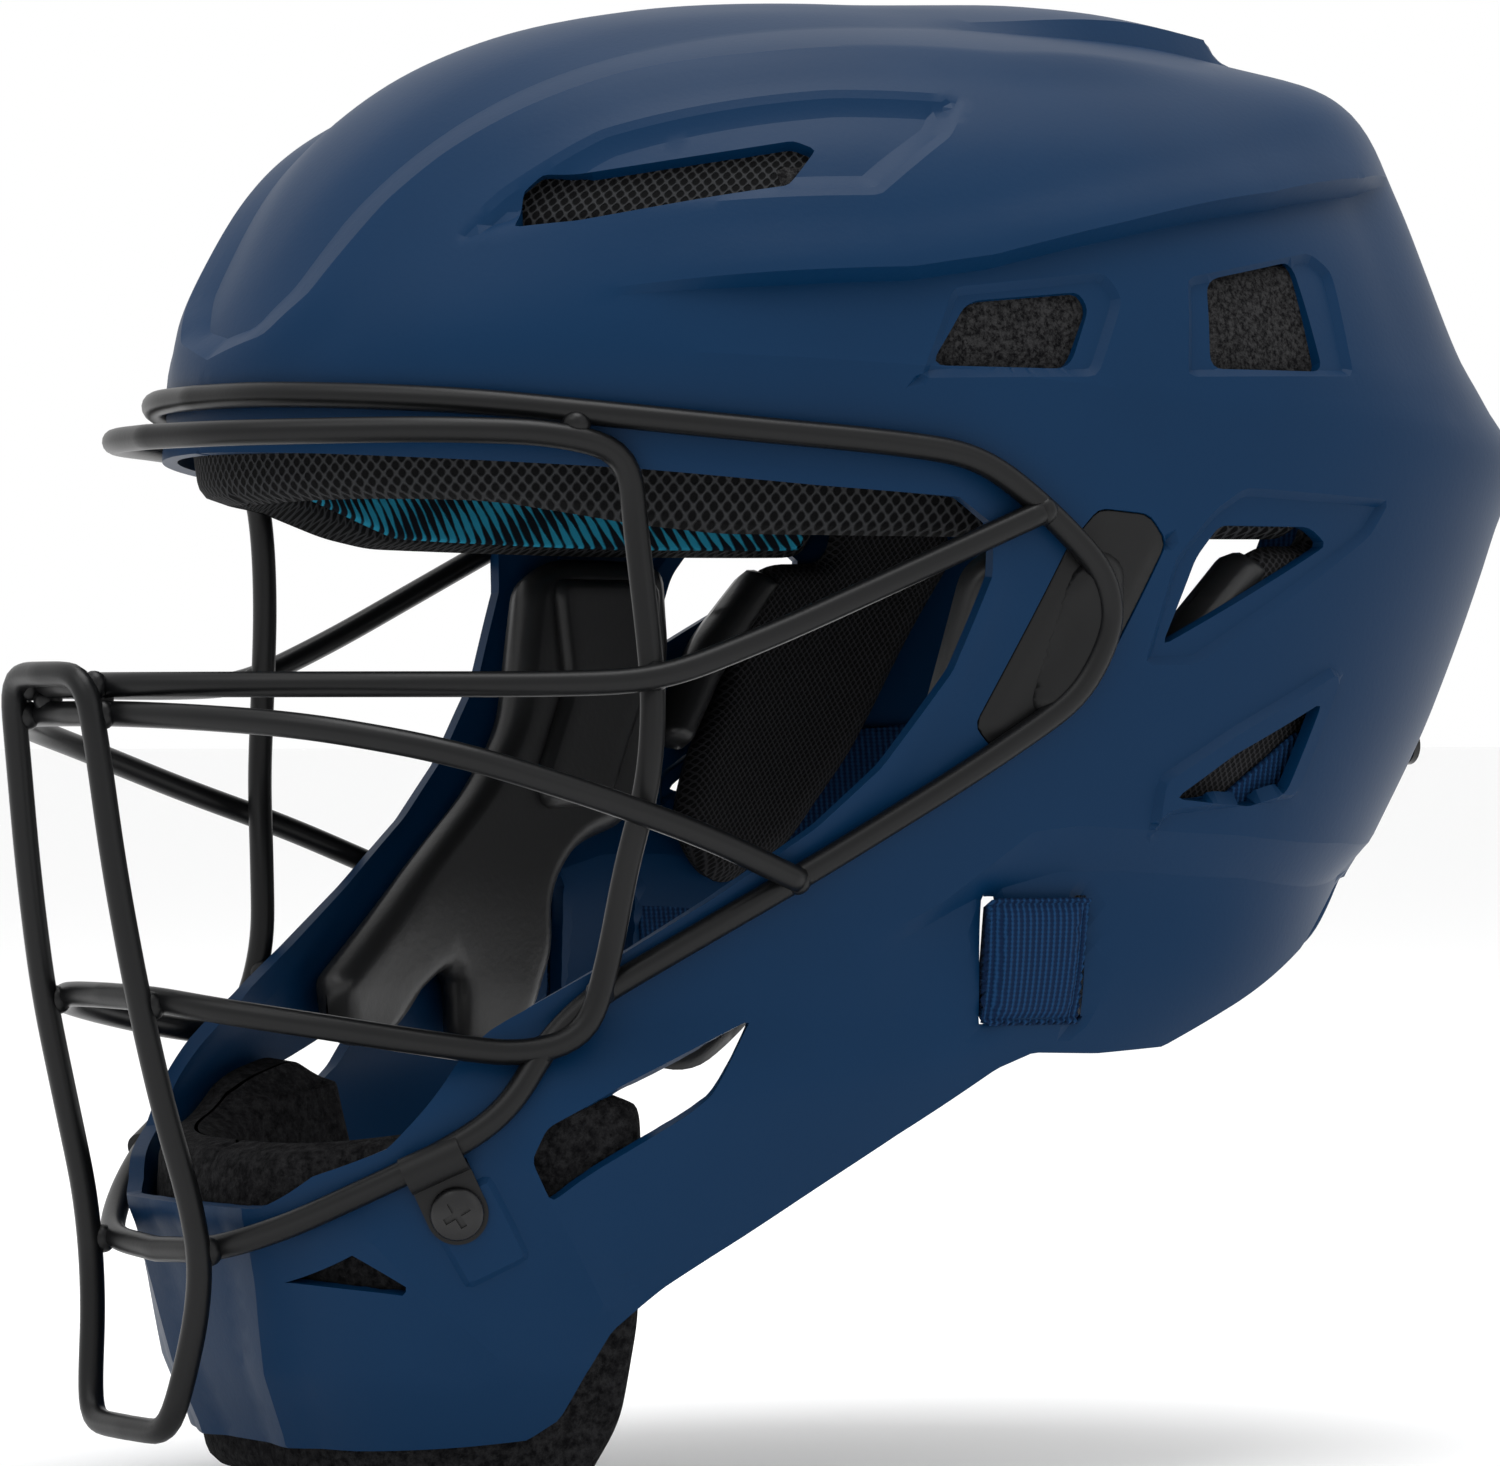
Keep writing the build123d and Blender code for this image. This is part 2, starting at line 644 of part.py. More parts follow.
def back_of(x, z):
    """How far back the form's outer face reaches at a place on the back."""
    low = 50.0
    high = 200.0
    for _ in range(40):
        middle = (low + high) / 2
        if half_width_at(middle, z * grow_z) > x:
            low = middle
        else:
            high = middle
    return low


head_stand = 0.9
plate_rivet_solids = rivets(rivet_spots, head_stand, rivet_radius, rivet_head_radius)
rivet_room = rivets(rivet_spots, head_stand, rivet_radius + 1.0, rivet_head_radius, 1.5)
with BuildPart() as plate_rivets:
    add(plate_rivet_solids)
pieces["plate_rivets"] = plate_rivets.part

with BuildPart() as back_plate:
    add(outer_form)
    add(inner_form, mode=Mode.SUBTRACT)
    add(back_outline(0), mode=Mode.INTERSECT)
    add(plate_rivet_solids, mode=Mode.SUBTRACT)
pieces["back_plate"] = back_plate.part

pieces["side_strap_left"] = side_strap_left.part
pieces["side_strap_right"] = right_of(side_strap_left.part)
pieces["rear_strap_left"] = rear_strap_left.part
pieces["rear_strap_right"] = right_of(rear_strap_left.part)
for pad_name, pad in left_pads.items():
    with BuildPart() as trimmed:
        add(pad)
        add(screw_clearance.part, mode=Mode.SUBTRACT)
    pieces[pad_name + "_left"] = trimmed.part
    pieces[pad_name + "_right"] = right_of(trimmed.part)

back_pad_outer_form = form(shell_wall + strap_thickness + 2 * fit_gap)
back_pad_inner_form = form(shell_wall + strap_thickness + 2 * fit_gap + pad_thickness)
with BuildPart() as back_pad:
    add(back_pad_outer_form)
    add(back_pad_inner_form, mode=Mode.SUBTRACT)
    add(back_outline(2.0), mode=Mode.INTERSECT)
    add(rivet_room, mode=Mode.SUBTRACT)
pieces["back_pad"] = back_pad.part

dome_rivet_spots = [(26.0, 219.0)]
dome_rivet_solids = rivets(dome_rivet_spots, head_stand, rivet_radius, rivet_head_radius)
with BuildPart() as dome_rivets:
    add(dome_rivet_solids)
pieces["dome_rivets"] = dome_rivets.part
for strap in ["rear_strap_left", "rear_strap_right", "side_strap_left", "side_strap_right"]:
    with BuildPart() as punched:
        add(pieces[strap])
        add(plate_rivet_solids + dome_rivet_solids, mode=Mode.SUBTRACT)
    pieces[strap] = punched.part
with BuildPart() as punched_shell:
    add(pieces["shell"])
    add(dome_rivet_solids, mode=Mode.SUBTRACT)
    for room in temple_screw_room:
        add(room, mode=Mode.SUBTRACT)
        mirror(room, about=Plane.YZ, mode=Mode.SUBTRACT)
pieces["shell"] = punched_shell.part

for name, piece in pieces.items():
    placed = piece.moved(Location((0, middle_shift, 0)))
    placed.label = name
    export_step(placed, "parts/" + name + ".step")
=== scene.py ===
import math

import bmesh
import bpy
import numpy as np
from mathutils import Matrix, Vector, geometry, kdtree


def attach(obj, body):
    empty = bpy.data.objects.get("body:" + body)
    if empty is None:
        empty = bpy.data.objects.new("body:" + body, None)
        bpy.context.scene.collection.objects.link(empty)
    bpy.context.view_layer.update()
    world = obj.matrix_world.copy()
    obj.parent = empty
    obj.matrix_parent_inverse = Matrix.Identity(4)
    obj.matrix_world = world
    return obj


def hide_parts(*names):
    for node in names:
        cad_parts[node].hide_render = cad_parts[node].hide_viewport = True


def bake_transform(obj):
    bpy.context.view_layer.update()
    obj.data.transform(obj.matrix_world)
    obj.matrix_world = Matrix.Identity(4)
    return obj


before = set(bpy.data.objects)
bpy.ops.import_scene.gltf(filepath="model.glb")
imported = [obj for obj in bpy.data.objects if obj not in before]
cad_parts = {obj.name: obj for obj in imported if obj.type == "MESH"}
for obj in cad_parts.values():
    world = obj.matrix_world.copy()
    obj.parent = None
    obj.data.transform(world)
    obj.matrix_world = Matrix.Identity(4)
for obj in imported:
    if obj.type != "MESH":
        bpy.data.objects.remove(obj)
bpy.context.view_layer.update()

bl_info = {
    "name": "Catcher's helmet",
    "version": (1, 0, 0),
    "blender": (4, 5, 0),
    "location": "View3D > Sidebar > Helmet",
    "description": "Builds the looks of a catcher's helmet with a wire cage around its CAD frame",
    "category": "Object",
}

MM = 0.001
RIM_ROUND = 0.7 * MM

# ------------------------------------------------------------------------------------------------
# The helmet's form: the same levels as the CAD shell, smoothed between them
# ------------------------------------------------------------------------------------------------
SHIFT = np.array([0.0, 4.1, 0.0])     # from the outline's middle to the frame's

# height, front, back, half width, widest place, roundness in front, roundness behind
LEVELS = np.array([
    (0, -121, -8, 56, -62, 2.9, 2.2),
    (20, -126, 0, 60, -60, 2.9, 2.2),
    (40, -131, 35, 64, -50, 2.8, 2.2),
    (58, -135, 75, 73, -20, 2.6, 2.2),
    (78, -134, 95, 83, 5, 2.4, 2.2),
    (96, -134, 108, 88, 28, 1.95, 2.2),
    (120, -133, 120, 93, 38, 1.85, 2.2),
    (155, -132, 141, 99, 42, 1.85, 2.2),
    (190, -131, 158, 102, 42, 1.85, 2.2),
    (206, -131, 165, 102, 42, 2.0, 2.2),
    (218, -130, 156, 102, 40, 2.1, 2.2),
    (228, -127, 149, 101, 36, 2.15, 2.2),
    (245, -118, 142, 97, 32, 2.15, 2.2),
    (262, -106, 137, 88, 28, 2.15, 2.2),
    (278, -88, 126, 72, 25, 2.15, 2.2),
    (289, -67, 98, 53, 20, 2.15, 2.2),
    (296, -40, 64, 33, 15, 2.1, 2.1),
    (299.5, -5, 28, 12, 12, 2.0, 2.0),
    (299.9, 11.9, 12.1, 0.1, 12, 2.0, 2.0),
], float)
TOP = LEVELS[-1, 0]


def smooth_through(xs, ys):
    """Slopes of a curve that passes through its points without overshooting."""
    steps = np.diff(xs)
    grades = np.diff(ys) / steps
    slopes = np.zeros(len(xs))
    slopes[0], slopes[-1] = grades[0], grades[-1]
    for i in range(1, len(xs) - 1):
        if grades[i - 1] * grades[i] > 0:
            near, far = 2 * steps[i] + steps[i - 1], steps[i] + 2 * steps[i - 1]
            slopes[i] = (near + far) / (near / grades[i - 1] + far / grades[i])
    return slopes


LEVEL_SLOPES = [smooth_through(LEVELS[:, 0], LEVELS[:, i]) for i in range(1, 7)]


def level_at(height):
    """Front, back, half width, widest place and the two roundnesses at each height."""
    height = np.clip(np.asarray(height, float), 0, TOP)
    zs = LEVELS[:, 0]
    i = np.clip(np.searchsorted(zs, height, side="right") - 1, 0, len(zs) - 2)
    step = zs[i + 1] - zs[i]
    t = (height - zs[i]) / step
    rows = []
    for column in range(1, 7):
        ys, slopes = LEVELS[:, column], LEVEL_SLOPES[column - 1]
        rows.append(
            (2 * t**3 - 3 * t**2 + 1) * ys[i] + (t**3 - 2 * t**2 + t) * step * slopes[i]
            + (3 * t**2 - 2 * t**3) * ys[i + 1] + (t**3 - t**2) * step * slopes[i + 1]
        )
    return rows


def ring_point(turn, height):
    """The form's face at an angle round a level, from the front (0) over the left (pi / 2) to the back."""
    front, back, half, widest, round_front, round_back = level_at(height)
    across, ahead = np.sin(turn), np.cos(turn)
    roundness = np.where(ahead > 0, round_front, round_back)
    reach = np.where(ahead > 0, widest - front, back - widest)
    x = half * np.sign(across) * np.abs(across) ** (2 / roundness)
    y = widest - reach * np.sign(ahead) * np.abs(ahead) ** (2 / roundness)
    return np.stack([x, y, np.asarray(height, float) + 0 * x], -1)


# An even grid over the form: share of the way round from front to back, and height.
GRID_HEIGHTS = TOP * (1 - (1 - np.linspace(0, 1, 240)) ** 1.6)
GRID_SHARES = np.linspace(0, 1, 181)
_turns = math.pi * (1 - np.cos(math.pi * np.linspace(0, 1, 721))) / 2
GRID_TURNS = np.zeros((len(GRID_HEIGHTS), len(GRID_SHARES)))
GIRTHS = np.zeros(len(GRID_HEIGHTS))
for _i, _height in enumerate(GRID_HEIGHTS):
    _ring = ring_point(_turns, np.full(len(_turns), _height))
    _lengths = np.concatenate([[0], np.cumsum(np.linalg.norm(np.diff(_ring, axis=0), axis=1))])
    GIRTHS[_i] = _lengths[-1]
    GRID_TURNS[_i] = np.interp(GRID_SHARES, _lengths / _lengths[-1], _turns)

# Distance from the crown on a flat map that keeps shapes
_radii = GIRTHS / math.pi
_runs = np.hypot(np.diff(GRID_HEIGHTS), np.diff(_radii))
MAP_LOG = np.concatenate([[0], np.cumsum((_runs / ((_radii[1:] + _radii[:-1]) / 2))[::-1])])[::-1]


def blend_grid(table, share, height):
    """A grid value between its neighbours."""
    row = np.interp(height, GRID_HEIGHTS, np.arange(len(GRID_HEIGHTS)))
    column = np.clip(share, 0, 1) * (len(GRID_SHARES) - 1)
    i = np.clip(row.astype(int), 0, len(GRID_HEIGHTS) - 2)
    j = np.clip(column.astype(int), 0, len(GRID_SHARES) - 2)
    a, b = row - i, column - j
    low = table[i, j] * (1 - b) + table[i, j + 1] * b
    high = table[i + 1, j] * (1 - b) + table[i + 1, j + 1] * b
    return low * (1 - a) + high * a


def face_point(share, height):
    """The point of the form's outer face at a share of the way round and a height, in outline millimetres."""
    share, height = np.asarray(share, float), np.asarray(height, float)
    side = np.where(share < 0, -1.0, 1.0)
    share = np.abs(share)
    side = np.where(share > 1, -side, side)
    share = np.where(share > 1, 2 - share, share)
    turn = blend_grid(GRID_TURNS, share, height)
    point = ring_point(turn, height)
    point[..., 0] *= side
    return point


def face_normals(share, height):
    """Outward directions of the form's face."""
    ds, dh = 0.004, 0.6
    height = np.asarray(height, float)
    up, down = np.minimum(height + dh, TOP - 0.05), np.maximum(np.minimum(height, TOP - 0.7) - dh, 0)
    around = face_point(share + ds, height) - face_point(share - ds, height)
    upward = face_point(share, up) - face_point(share, down)
    normal = np.cross(around, upward)
    return normal / np.maximum(np.linalg.norm(normal, axis=-1, keepdims=True), 1e-9)


_tree = kdtree.KDTree(len(GRID_HEIGHTS) * len(GRID_SHARES))
_grid_places = []
for _i, _height in enumerate(GRID_HEIGHTS):
    for _j, _point in enumerate(ring_point(GRID_TURNS[_i], np.full(len(GRID_SHARES), _height))):
        _tree.insert(_point, len(_grid_places))
        _grid_places.append((GRID_SHARES[_j], _height))
_tree.balance()


def places_of(points):
    """Shares and heights of the form's face nearest to points on the left side."""
    points = np.asarray(points, float)
    start = np.array([_grid_places[_tree.find(p)[1]] for p in points])
    share, height = start[:, 0], start[:, 1]
    for _ in range(4):
        here = face_point(share, height)
        ds, dh = 0.002, 0.3
        along = (face_point(share + ds, height) - here) / ds
        upper = np.minimum(height + dh, TOP - 0.01)
        upward = (face_point(share, upper) - here) / np.maximum(upper - height, 1e-3)[:, None]
        miss = points - here
        aa, bb = (along * along).sum(1), (upward * upward).sum(1)
        ab, am, bm = (along * upward).sum(1), (along * miss).sum(1), (upward * miss).sum(1)
        scale = np.maximum(aa * bb - ab * ab, 1e-9)
        share = np.clip(share + np.clip((bb * am - ab * bm) / scale, -0.02, 0.02), 0, 1)
        height = np.clip(height + np.clip((aa * bm - ab * am) / scale, -3, 3), 0, TOP - 0.02)
    return share, height


def to_map(share, height):
    """Flat-map coordinates of a place on the face."""
    reach = np.exp(np.interp(height, GRID_HEIGHTS, MAP_LOG) - 6)
    return np.stack([reach * np.cos(math.pi * share), reach * np.sin(math.pi * share)], -1)


def from_map(flat):
    """The place on the face of flat-map coordinates."""
    reach = np.log(np.maximum(np.hypot(flat[:, 0], flat[:, 1]), 1e-12)) + 6
    share = np.arctan2(np.maximum(flat[:, 1], 0), flat[:, 0]) / math.pi
    height = np.interp(-reach, -MAP_LOG, GRID_HEIGHTS)
    return share, height


def level_beside(y, z):
    """A level's front, back, half width and widest place, with its reach and roundness on y's side of it."""
    front, back, half, widest, round_front, round_back = [float(v) for v in level_at(z)]
    if y < widest:
        return front, back, half, widest, widest - front, round_front
    return front, back, half, widest, back - widest, round_back


def left_face(y, z):
    """The point on the wearer's left where a side-view point meets the face, in outline millimetres."""
    front, back, half, widest, reach, roundness = level_beside(y, z)
    along = min(1.0, abs(y - widest) / reach)
    y = min(max(y, front), back)
    return np.array([half * (1 - along**roundness) ** (1 / roundness), y, z])


def back_face(x, z):
    """The point at the back of the face at a rear-view place."""
    _, back, half, widest, _, round_back = [float(v) for v in level_at(z)]
    along = min(1.0, abs(x) / half)
    return np.array([x, widest + (back - widest) * (1 - along**round_back) ** (1 / round_back), z])


def rounded(outline, radius, steps=5):
    """A closed outline with its corners rounded."""
    corners = [np.array(p, float) for p in outline]
    points = []
    count = len(corners)
    for i in range(count):
        before, here, after = corners[i - 1], corners[i], corners[(i + 1) % count]
        to_before, to_after = before - here, after - here
        room = min(radius, 0.45 * np.linalg.norm(to_before), 0.45 * np.linalg.norm(to_after))
        a = here + to_before / np.linalg.norm(to_before) * room
        b = here + to_after / np.linalg.norm(to_after) * room
        for step in range(steps + 1):
            t = step / steps
            points.append((1 - t) ** 2 * a + 2 * t * (1 - t) * here + t**2 * b)
    return np.array(points)


def spread(points, spacing, closed=True):
    """A polyline with points no further apart than spacing."""
    points = np.asarray(points, float)
    ring = np.vstack([points, points[:1]]) if closed else points
    out = []
    for a, b in zip(ring[:-1], ring[1:]):
        count = max(1, int(math.ceil(np.linalg.norm(b - a) / spacing)))
        for step in range(count):
            out.append(a + (b - a) * step / count)
    if not closed:
        out.append(ring[-1])
    return np.array(out)


def inside(points, outline):
    """Which flat points lie inside a closed outline."""
    x, y = points[:, 0], points[:, 1]
    result = np.zeros(len(points), bool)
    ring = np.vstack([outline, outline[:1]])
    for (ax, ay), (bx, by) in zip(ring[:-1], ring[1:]):
        if ay == by:
            continue
        crosses = (ay > y) != (by > y)
        result ^= crosses & (x < (bx - ax) * (y - ay) / (by - ay) + ax)
    return result


def gaps_to(points, a, b):
    """The shortest way from a straight edge to each point, as vectors."""
    along = b - a
    t = np.clip(((points - a) @ along) / max(along @ along, 1e-12), 0, 1)
    return points - (a + t[:, None] * along)


def distance_to(points, line):
    """Distance from each point to a polyline."""
    best = np.full(len(points), 1e9)
    for a, b in zip(line[:-1], line[1:]):
        best = np.minimum(best, np.linalg.norm(gaps_to(points, a, b), axis=1))
    return best


def ease(x):
    """A soft step from 0 to 1."""
    x = np.clip(x, 0, 1)
    return x * x * (3 - 2 * x)


def top_face(x, y):
    """The point of the dome straight above a place in the top view."""
    low, high = 200.0, TOP - 0.01
    for _ in range(40):
        z = (low + high) / 2
        _, _, half, widest, reach, roundness = level_beside(y, z)
        if (abs(x) / half) ** roundness + (abs(y - widest) / reach) ** roundness < 1:
            low = z
        else:
            high = z
    return np.array([x, y, low])


def resample(points, spacing):
    """A polyline in space with even steps."""
    points = np.asarray(points, float)
    runs = np.concatenate([[0], np.cumsum(np.linalg.norm(np.diff(points, axis=0), axis=1))])
    count = max(2, int(round(runs[-1] / spacing)) + 1)
    marks = np.linspace(0, runs[-1], count)
    return np.stack([np.interp(marks, runs, points[:, i]) for i in range(points.shape[1])], -1)


def side_line(outline, spacing=1.5, corner=0.0, closed=True):
    """A side-view outline laid on the left face, as points in space."""
    flat = rounded(outline, corner) if corner > 0 else np.array(outline, float)
    flat = spread(flat, 0.5, closed)
    if closed:
        flat = np.vstack([flat, flat[:1]])
    laid = np.array([left_face(y, min(max(z, 0.0), TOP - 0.05)) for y, z in flat])
    keep = [0]
    for i in range(1, len(laid)):
        if np.linalg.norm(laid[i] - laid[keep[-1]]) > 0.05:
            keep.append(i)
    return resample(laid[keep], spacing)


def space_line(points, spacing=1.5):
    """A line through measured points, laid on the left face."""
    dense = resample(points, 2.0)
    return resample(face_point(*places_of(dense)), spacing)


MERIDIAN = np.concatenate([[0], np.cumsum(_runs)])


def even_places(spacing, low=0.0, high=TOP - 0.3):
    """Places spread evenly over the left face, the middle plane included."""
    start, end = np.interp([low, high], GRID_HEIGHTS, MERIDIAN)
    rows = max(2, int(round((end - start) / (spacing * 0.9))))
    shares, heights = [], []
    for row, run in enumerate(np.linspace(start, end, rows + 1)):
        height = np.interp(run, MERIDIAN, GRID_HEIGHTS)
        count = max(1, int(round(np.interp(height, GRID_HEIGHTS, GIRTHS) / spacing)))
        steps = (np.arange(count) + 0.5 * (row % 2)) / count
        steps = np.concatenate([[0.0], steps[(steps > 0.3 / count) & (steps < 1 - 0.3 / count)], [1.0]])
        shares.append(steps)
        heights.append(np.full(len(steps), height))
    return np.concatenate(shares), np.concatenate(heights)


class Bed:
    """Places gathered for one skin, none closer together than its own spacing."""

    def __init__(self, cell=3.0):
        self.cell, self.cells = cell, {}
        self.points, self.shares, self.heights = [], [], []

    def near(self, point, room):
        key = tuple(int(math.floor(c / self.cell)) for c in point)
        for i in range(key[0] - 1, key[0] + 2):
            for j in range(key[1] - 1, key[1] + 2):
                for k in range(key[2] - 1, key[2] + 2):
                    for index in self.cells.get((i, j, k), ()):
                        gap = self.points[index] - point
                        if gap @ gap < room * room:
                            return index
        return -1

    def add(self, point, share, height, room):
        """Adds a place unless another is nearer than room, and returns the place that stands there."""
        found = self.near(point, room)
        if found >= 0:
            return found
        key = tuple(int(math.floor(c / self.cell)) for c in point)
        self.cells.setdefault(key, []).append(len(self.points))
        self.points.append(point)
        self.shares.append(share)
        self.heights.append(height)
        return len(self.points) - 1

    def line(self, points, room=0.25):
        """Adds a polyline and returns its edges."""
        share, height = places_of(points)
        on_middle = np.abs(points[:, 0]) < 0.15
        share = np.where(on_middle & (share < 0.5), 0.0, np.where(on_middle, 1.0, share))
        laid = face_point(share, height)
        stops = [self.add(p, s, h, room) for p, s, h in zip(laid, share, height)]
        return [(a, b) for a, b in zip(stops[:-1], stops[1:]) if a != b]

    def beside(self, points, gaps, room=0.5):
        """Adds loose places on both sides of a polyline."""
        share, height = places_of(points)
        here = face_point(share, height)
        along = np.gradient(here, axis=0)
        across = np.cross(along, face_normals(share, height))
        across /= np.maximum(np.linalg.norm(across, axis=1, keepdims=True), 1e-9)
        for gap in gaps:
            for sign in (-1, 1):
                moved = here + across * gap * sign
                moved = moved[moved[:, 0] > -1.0]
                if not len(moved):
                    continue
                moved[:, 0] = np.maximum(moved[:, 0], 0)
                s, h = places_of(moved)
                s = np.where(moved[:, 0] < 0.6, np.round(s), s)
                for p, si, hi in zip(face_point(s, h), s, h):
                    self.add(p, si, hi, room)

    def fill(self, spacing, share_of_spacing=0.62, low=0.0, high=TOP - 0.3, wanted=None):
        share, height = even_places(spacing, low, high)
        if wanted is not None:
            keep = wanted(face_point(share, height))
            share, height = share[keep], height[keep]
        for p, s, h in zip(face_point(share, height), share, height):
            self.add(p, s, h, spacing * share_of_spacing)

    def triangles(self, edges):
        """Triangles over all the places, keeping the given edges."""
        flat = to_map(np.array(self.shares), np.array(self.heights))
        flat[:, 1] = np.where(np.array(self.shares) <= 0, 0.0, flat[:, 1])
        flat[:, 1] = np.where(np.array(self.shares) >= 1, 0.0, flat[:, 1])
        scale = 100.0 / np.abs(flat).max()
        result = geometry.delaunay_2d_cdt([Vector(p) for p in flat * scale], edges, [], 0, 1e-7)
        verts = np.array([tuple(v) for v in result[0]]) / scale
        share, height = from_map(verts)
        for index, origins in enumerate(result[3]):
            if origins:
                share[index] = self.shares[origins[0]]
                height[index] = self.heights[origins[0]]
        return share, height, np.array([list(f) for f in result[2]])


def settings():
    """The sizes chosen in the sidebar."""
    return bpy.context.scene.helmet


def to_metres(points):
    """Outline millimetres as metres in the frame."""
    return (np.asarray(points) + SHIFT) * MM


def new_object(name, verts, faces, uvs=None):
    """A smooth mesh object; uvs holds a place on the cloth for each vertex."""
    name = name.replace(" ", "_")
    mesh = bpy.data.meshes.new(name)
    mesh.from_pydata([tuple(v) for v in verts], [], [tuple(f) for f in faces])
    if uvs is not None:
        layer = mesh.uv_layers.new(name="cloth")
        loops = np.zeros(len(mesh.loops), int)
        mesh.loops.foreach_get("vertex_index", loops)
        layer.data.foreach_set("uv", np.asarray(uvs, np.float32)[loops].ravel())
    mesh.validate()
    mesh.update()
    obj = bpy.data.objects.new(name, mesh)
    bpy.context.scene.collection.objects.link(obj)
    mesh.shade_smooth()
    return obj


def cloth_uv(share, height):
    """Even coordinates over the form, in metres."""
    return np.stack([np.abs(share) * 0.42, np.interp(height, GRID_HEIGHTS, MERIDIAN) * MM], -1)


def mirror_left(verts, faces, uvs=None):
    """The left half's mesh with its right-hand copy, sharing the vertices on the middle plane."""
    count = len(verts)
    on_middle = np.abs(verts[:, 0]) < 1e-7
    partner = np.arange(count)
    partner[~on_middle] = count + np.arange((~on_middle).sum())
    other = verts[~on_middle] * [-1, 1, 1]
    flipped = partner[np.asarray(faces)][:, ::-1]
    all_uvs = None if uvs is None else np.vstack([uvs, uvs[~on_middle]])
    return np.vstack([verts, other]), np.vstack([faces, flipped]), all_uvs


def facing_out(verts, faces, normals):
    """Turns triangles so that they face along the given normals."""
    faces = np.asarray(faces)
    a, b, c = verts[faces[:, 0]], verts[faces[:, 1]], verts[faces[:, 2]]
    wrong = (np.cross(b - a, c - a) * normals[faces[:, 0]]).sum(1) < 0
    faces[wrong] = faces[wrong][:, ::-1]
    return faces


def only_used(share, height, faces):
    """The places that faces stand on, and the faces numbered by them."""
    used = np.unique(faces)
    numbers = np.full(len(share), -1)
    numbers[used] = np.arange(len(used))
    return share[used], height[used], numbers[faces]


def skin(name, outline, inset, thickness, edge, spacing=3.0, middle=False, raise_by=None, hump=0.0):
    """A pad or strip that follows the form, inset inside the face and thickness deep, with rounded rims.

    edge is how far in the rims round over, middle carries the piece on to the right, raise_by lifts its outer
    face and hump swells its inner face.
    """
    bed = Bed()
    outline = np.asarray(outline, float)
    if np.linalg.norm(outline[0] - outline[-1]) > 1e-6:
        outline = np.vstack([outline, outline[:1]])
    edges = bed.line(resample(outline, min(spacing, 2.0)), 0.3)
    share, height = places_of(outline)
    laid = face_point(share, height)
    flat_outline = to_map(share, height)
    rims = [(a, b) for a, b in zip(laid[:-1], laid[1:]) if max(a[0], b[0]) > 0.3]
    for part in (0.12, 0.35, 0.7, 1.0):
        bed.beside(resample(outline, 2.0), [edge * part], max(0.2, edge * 0.2))
    low, high = laid[:, 2].min() - 6, min(laid[:, 2].max() + 6, TOP - 0.3)
    if outline[:, 2].max() > TOP - 1:
        high = TOP - 0.1
    bed.fill(spacing, 0.62, max(0.0, low), high)
    share, height, faces = bed.triangles(edges)
    flat = to_map(share, height)
    centres = flat[faces].mean(1)
    ring, span = flat_outline.copy(), np.abs(flat_outline).max()
    ring[:, 1] = np.where(np.abs(ring[:, 1]) < 1e-6 * span, -1e-3 * span, ring[:, 1])
    share, height, faces = only_used(share, height, faces[inside(centres, ring)])
    base = face_point(share, height)
    normals = face_normals(share, height)
    reach = np.full(len(base), 1e9)
    for a, b in rims:
        reach = np.minimum(reach, np.linalg.norm(gaps_to(base, a, b), axis=1))
    fullness = np.sqrt(np.clip(1 - (1 - np.clip(reach / edge, 0, 1)) ** 2, 0, 1))
    extra = hump * ease(reach / max(edge * 3, 1e-6))
    lift = raise_by(base, reach) if raise_by else 0.0
    outer = base + normals * (lift - inset - thickness / 2 * (1 - fullness))[:, None]
    inner = base - normals * (inset + thickness / 2 * (1 + fullness) + extra)[:, None]
    rim = reach < 1e-3
    count = len(base)
    partner = np.where(rim, np.arange(count), count + np.arange(count))
    verts = np.vstack([outer, inner])
    faces = facing_out(base, faces, normals)
    if middle:
        on_middle = (share <= 0) | (share >= 1)
        verts[:count][on_middle, 0] = 0
        verts[count:][on_middle, 0] = 0
    both = np.vstack([faces, partner[faces][:, ::-1]])
    uvs = np.vstack([cloth_uv(share, height)] * 2)
    metres = to_metres(verts)
    if middle:
        metres, both, uvs = mirror_left(metres, both, uvs)
    return new_object(name, metres, both, uvs)


def right_copy(obj, name):
    """The wearer's right-hand copy of a left-hand piece."""
    mesh = obj.data.copy()
    mesh.transform(Matrix.Diagonal((-1, 1, 1, 1)))
    mesh.flip_normals()
    copy = bpy.data.objects.new(name.replace(" ", "_"), mesh)
    bpy.context.scene.collection.objects.link(copy)
    return copy


def finish_piece(obj, material, body="helmet", nodes=()):
    """Gives a piece its material and its place in the frame."""
    obj.data.materials.clear()
    obj.data.materials.append(material)
    if body:
        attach(obj, body)
    if nodes:
        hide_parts(*nodes)
    return obj


def baked(obj):
    """The object with its modifiers applied."""
    bpy.context.view_layer.objects.active = obj
    for modifier in list(obj.modifiers):
        with bpy.context.temp_override(object=obj, active_object=obj, selected_objects=[obj]):
            bpy.ops.object.modifier_apply(modifier=modifier.name)
    return obj


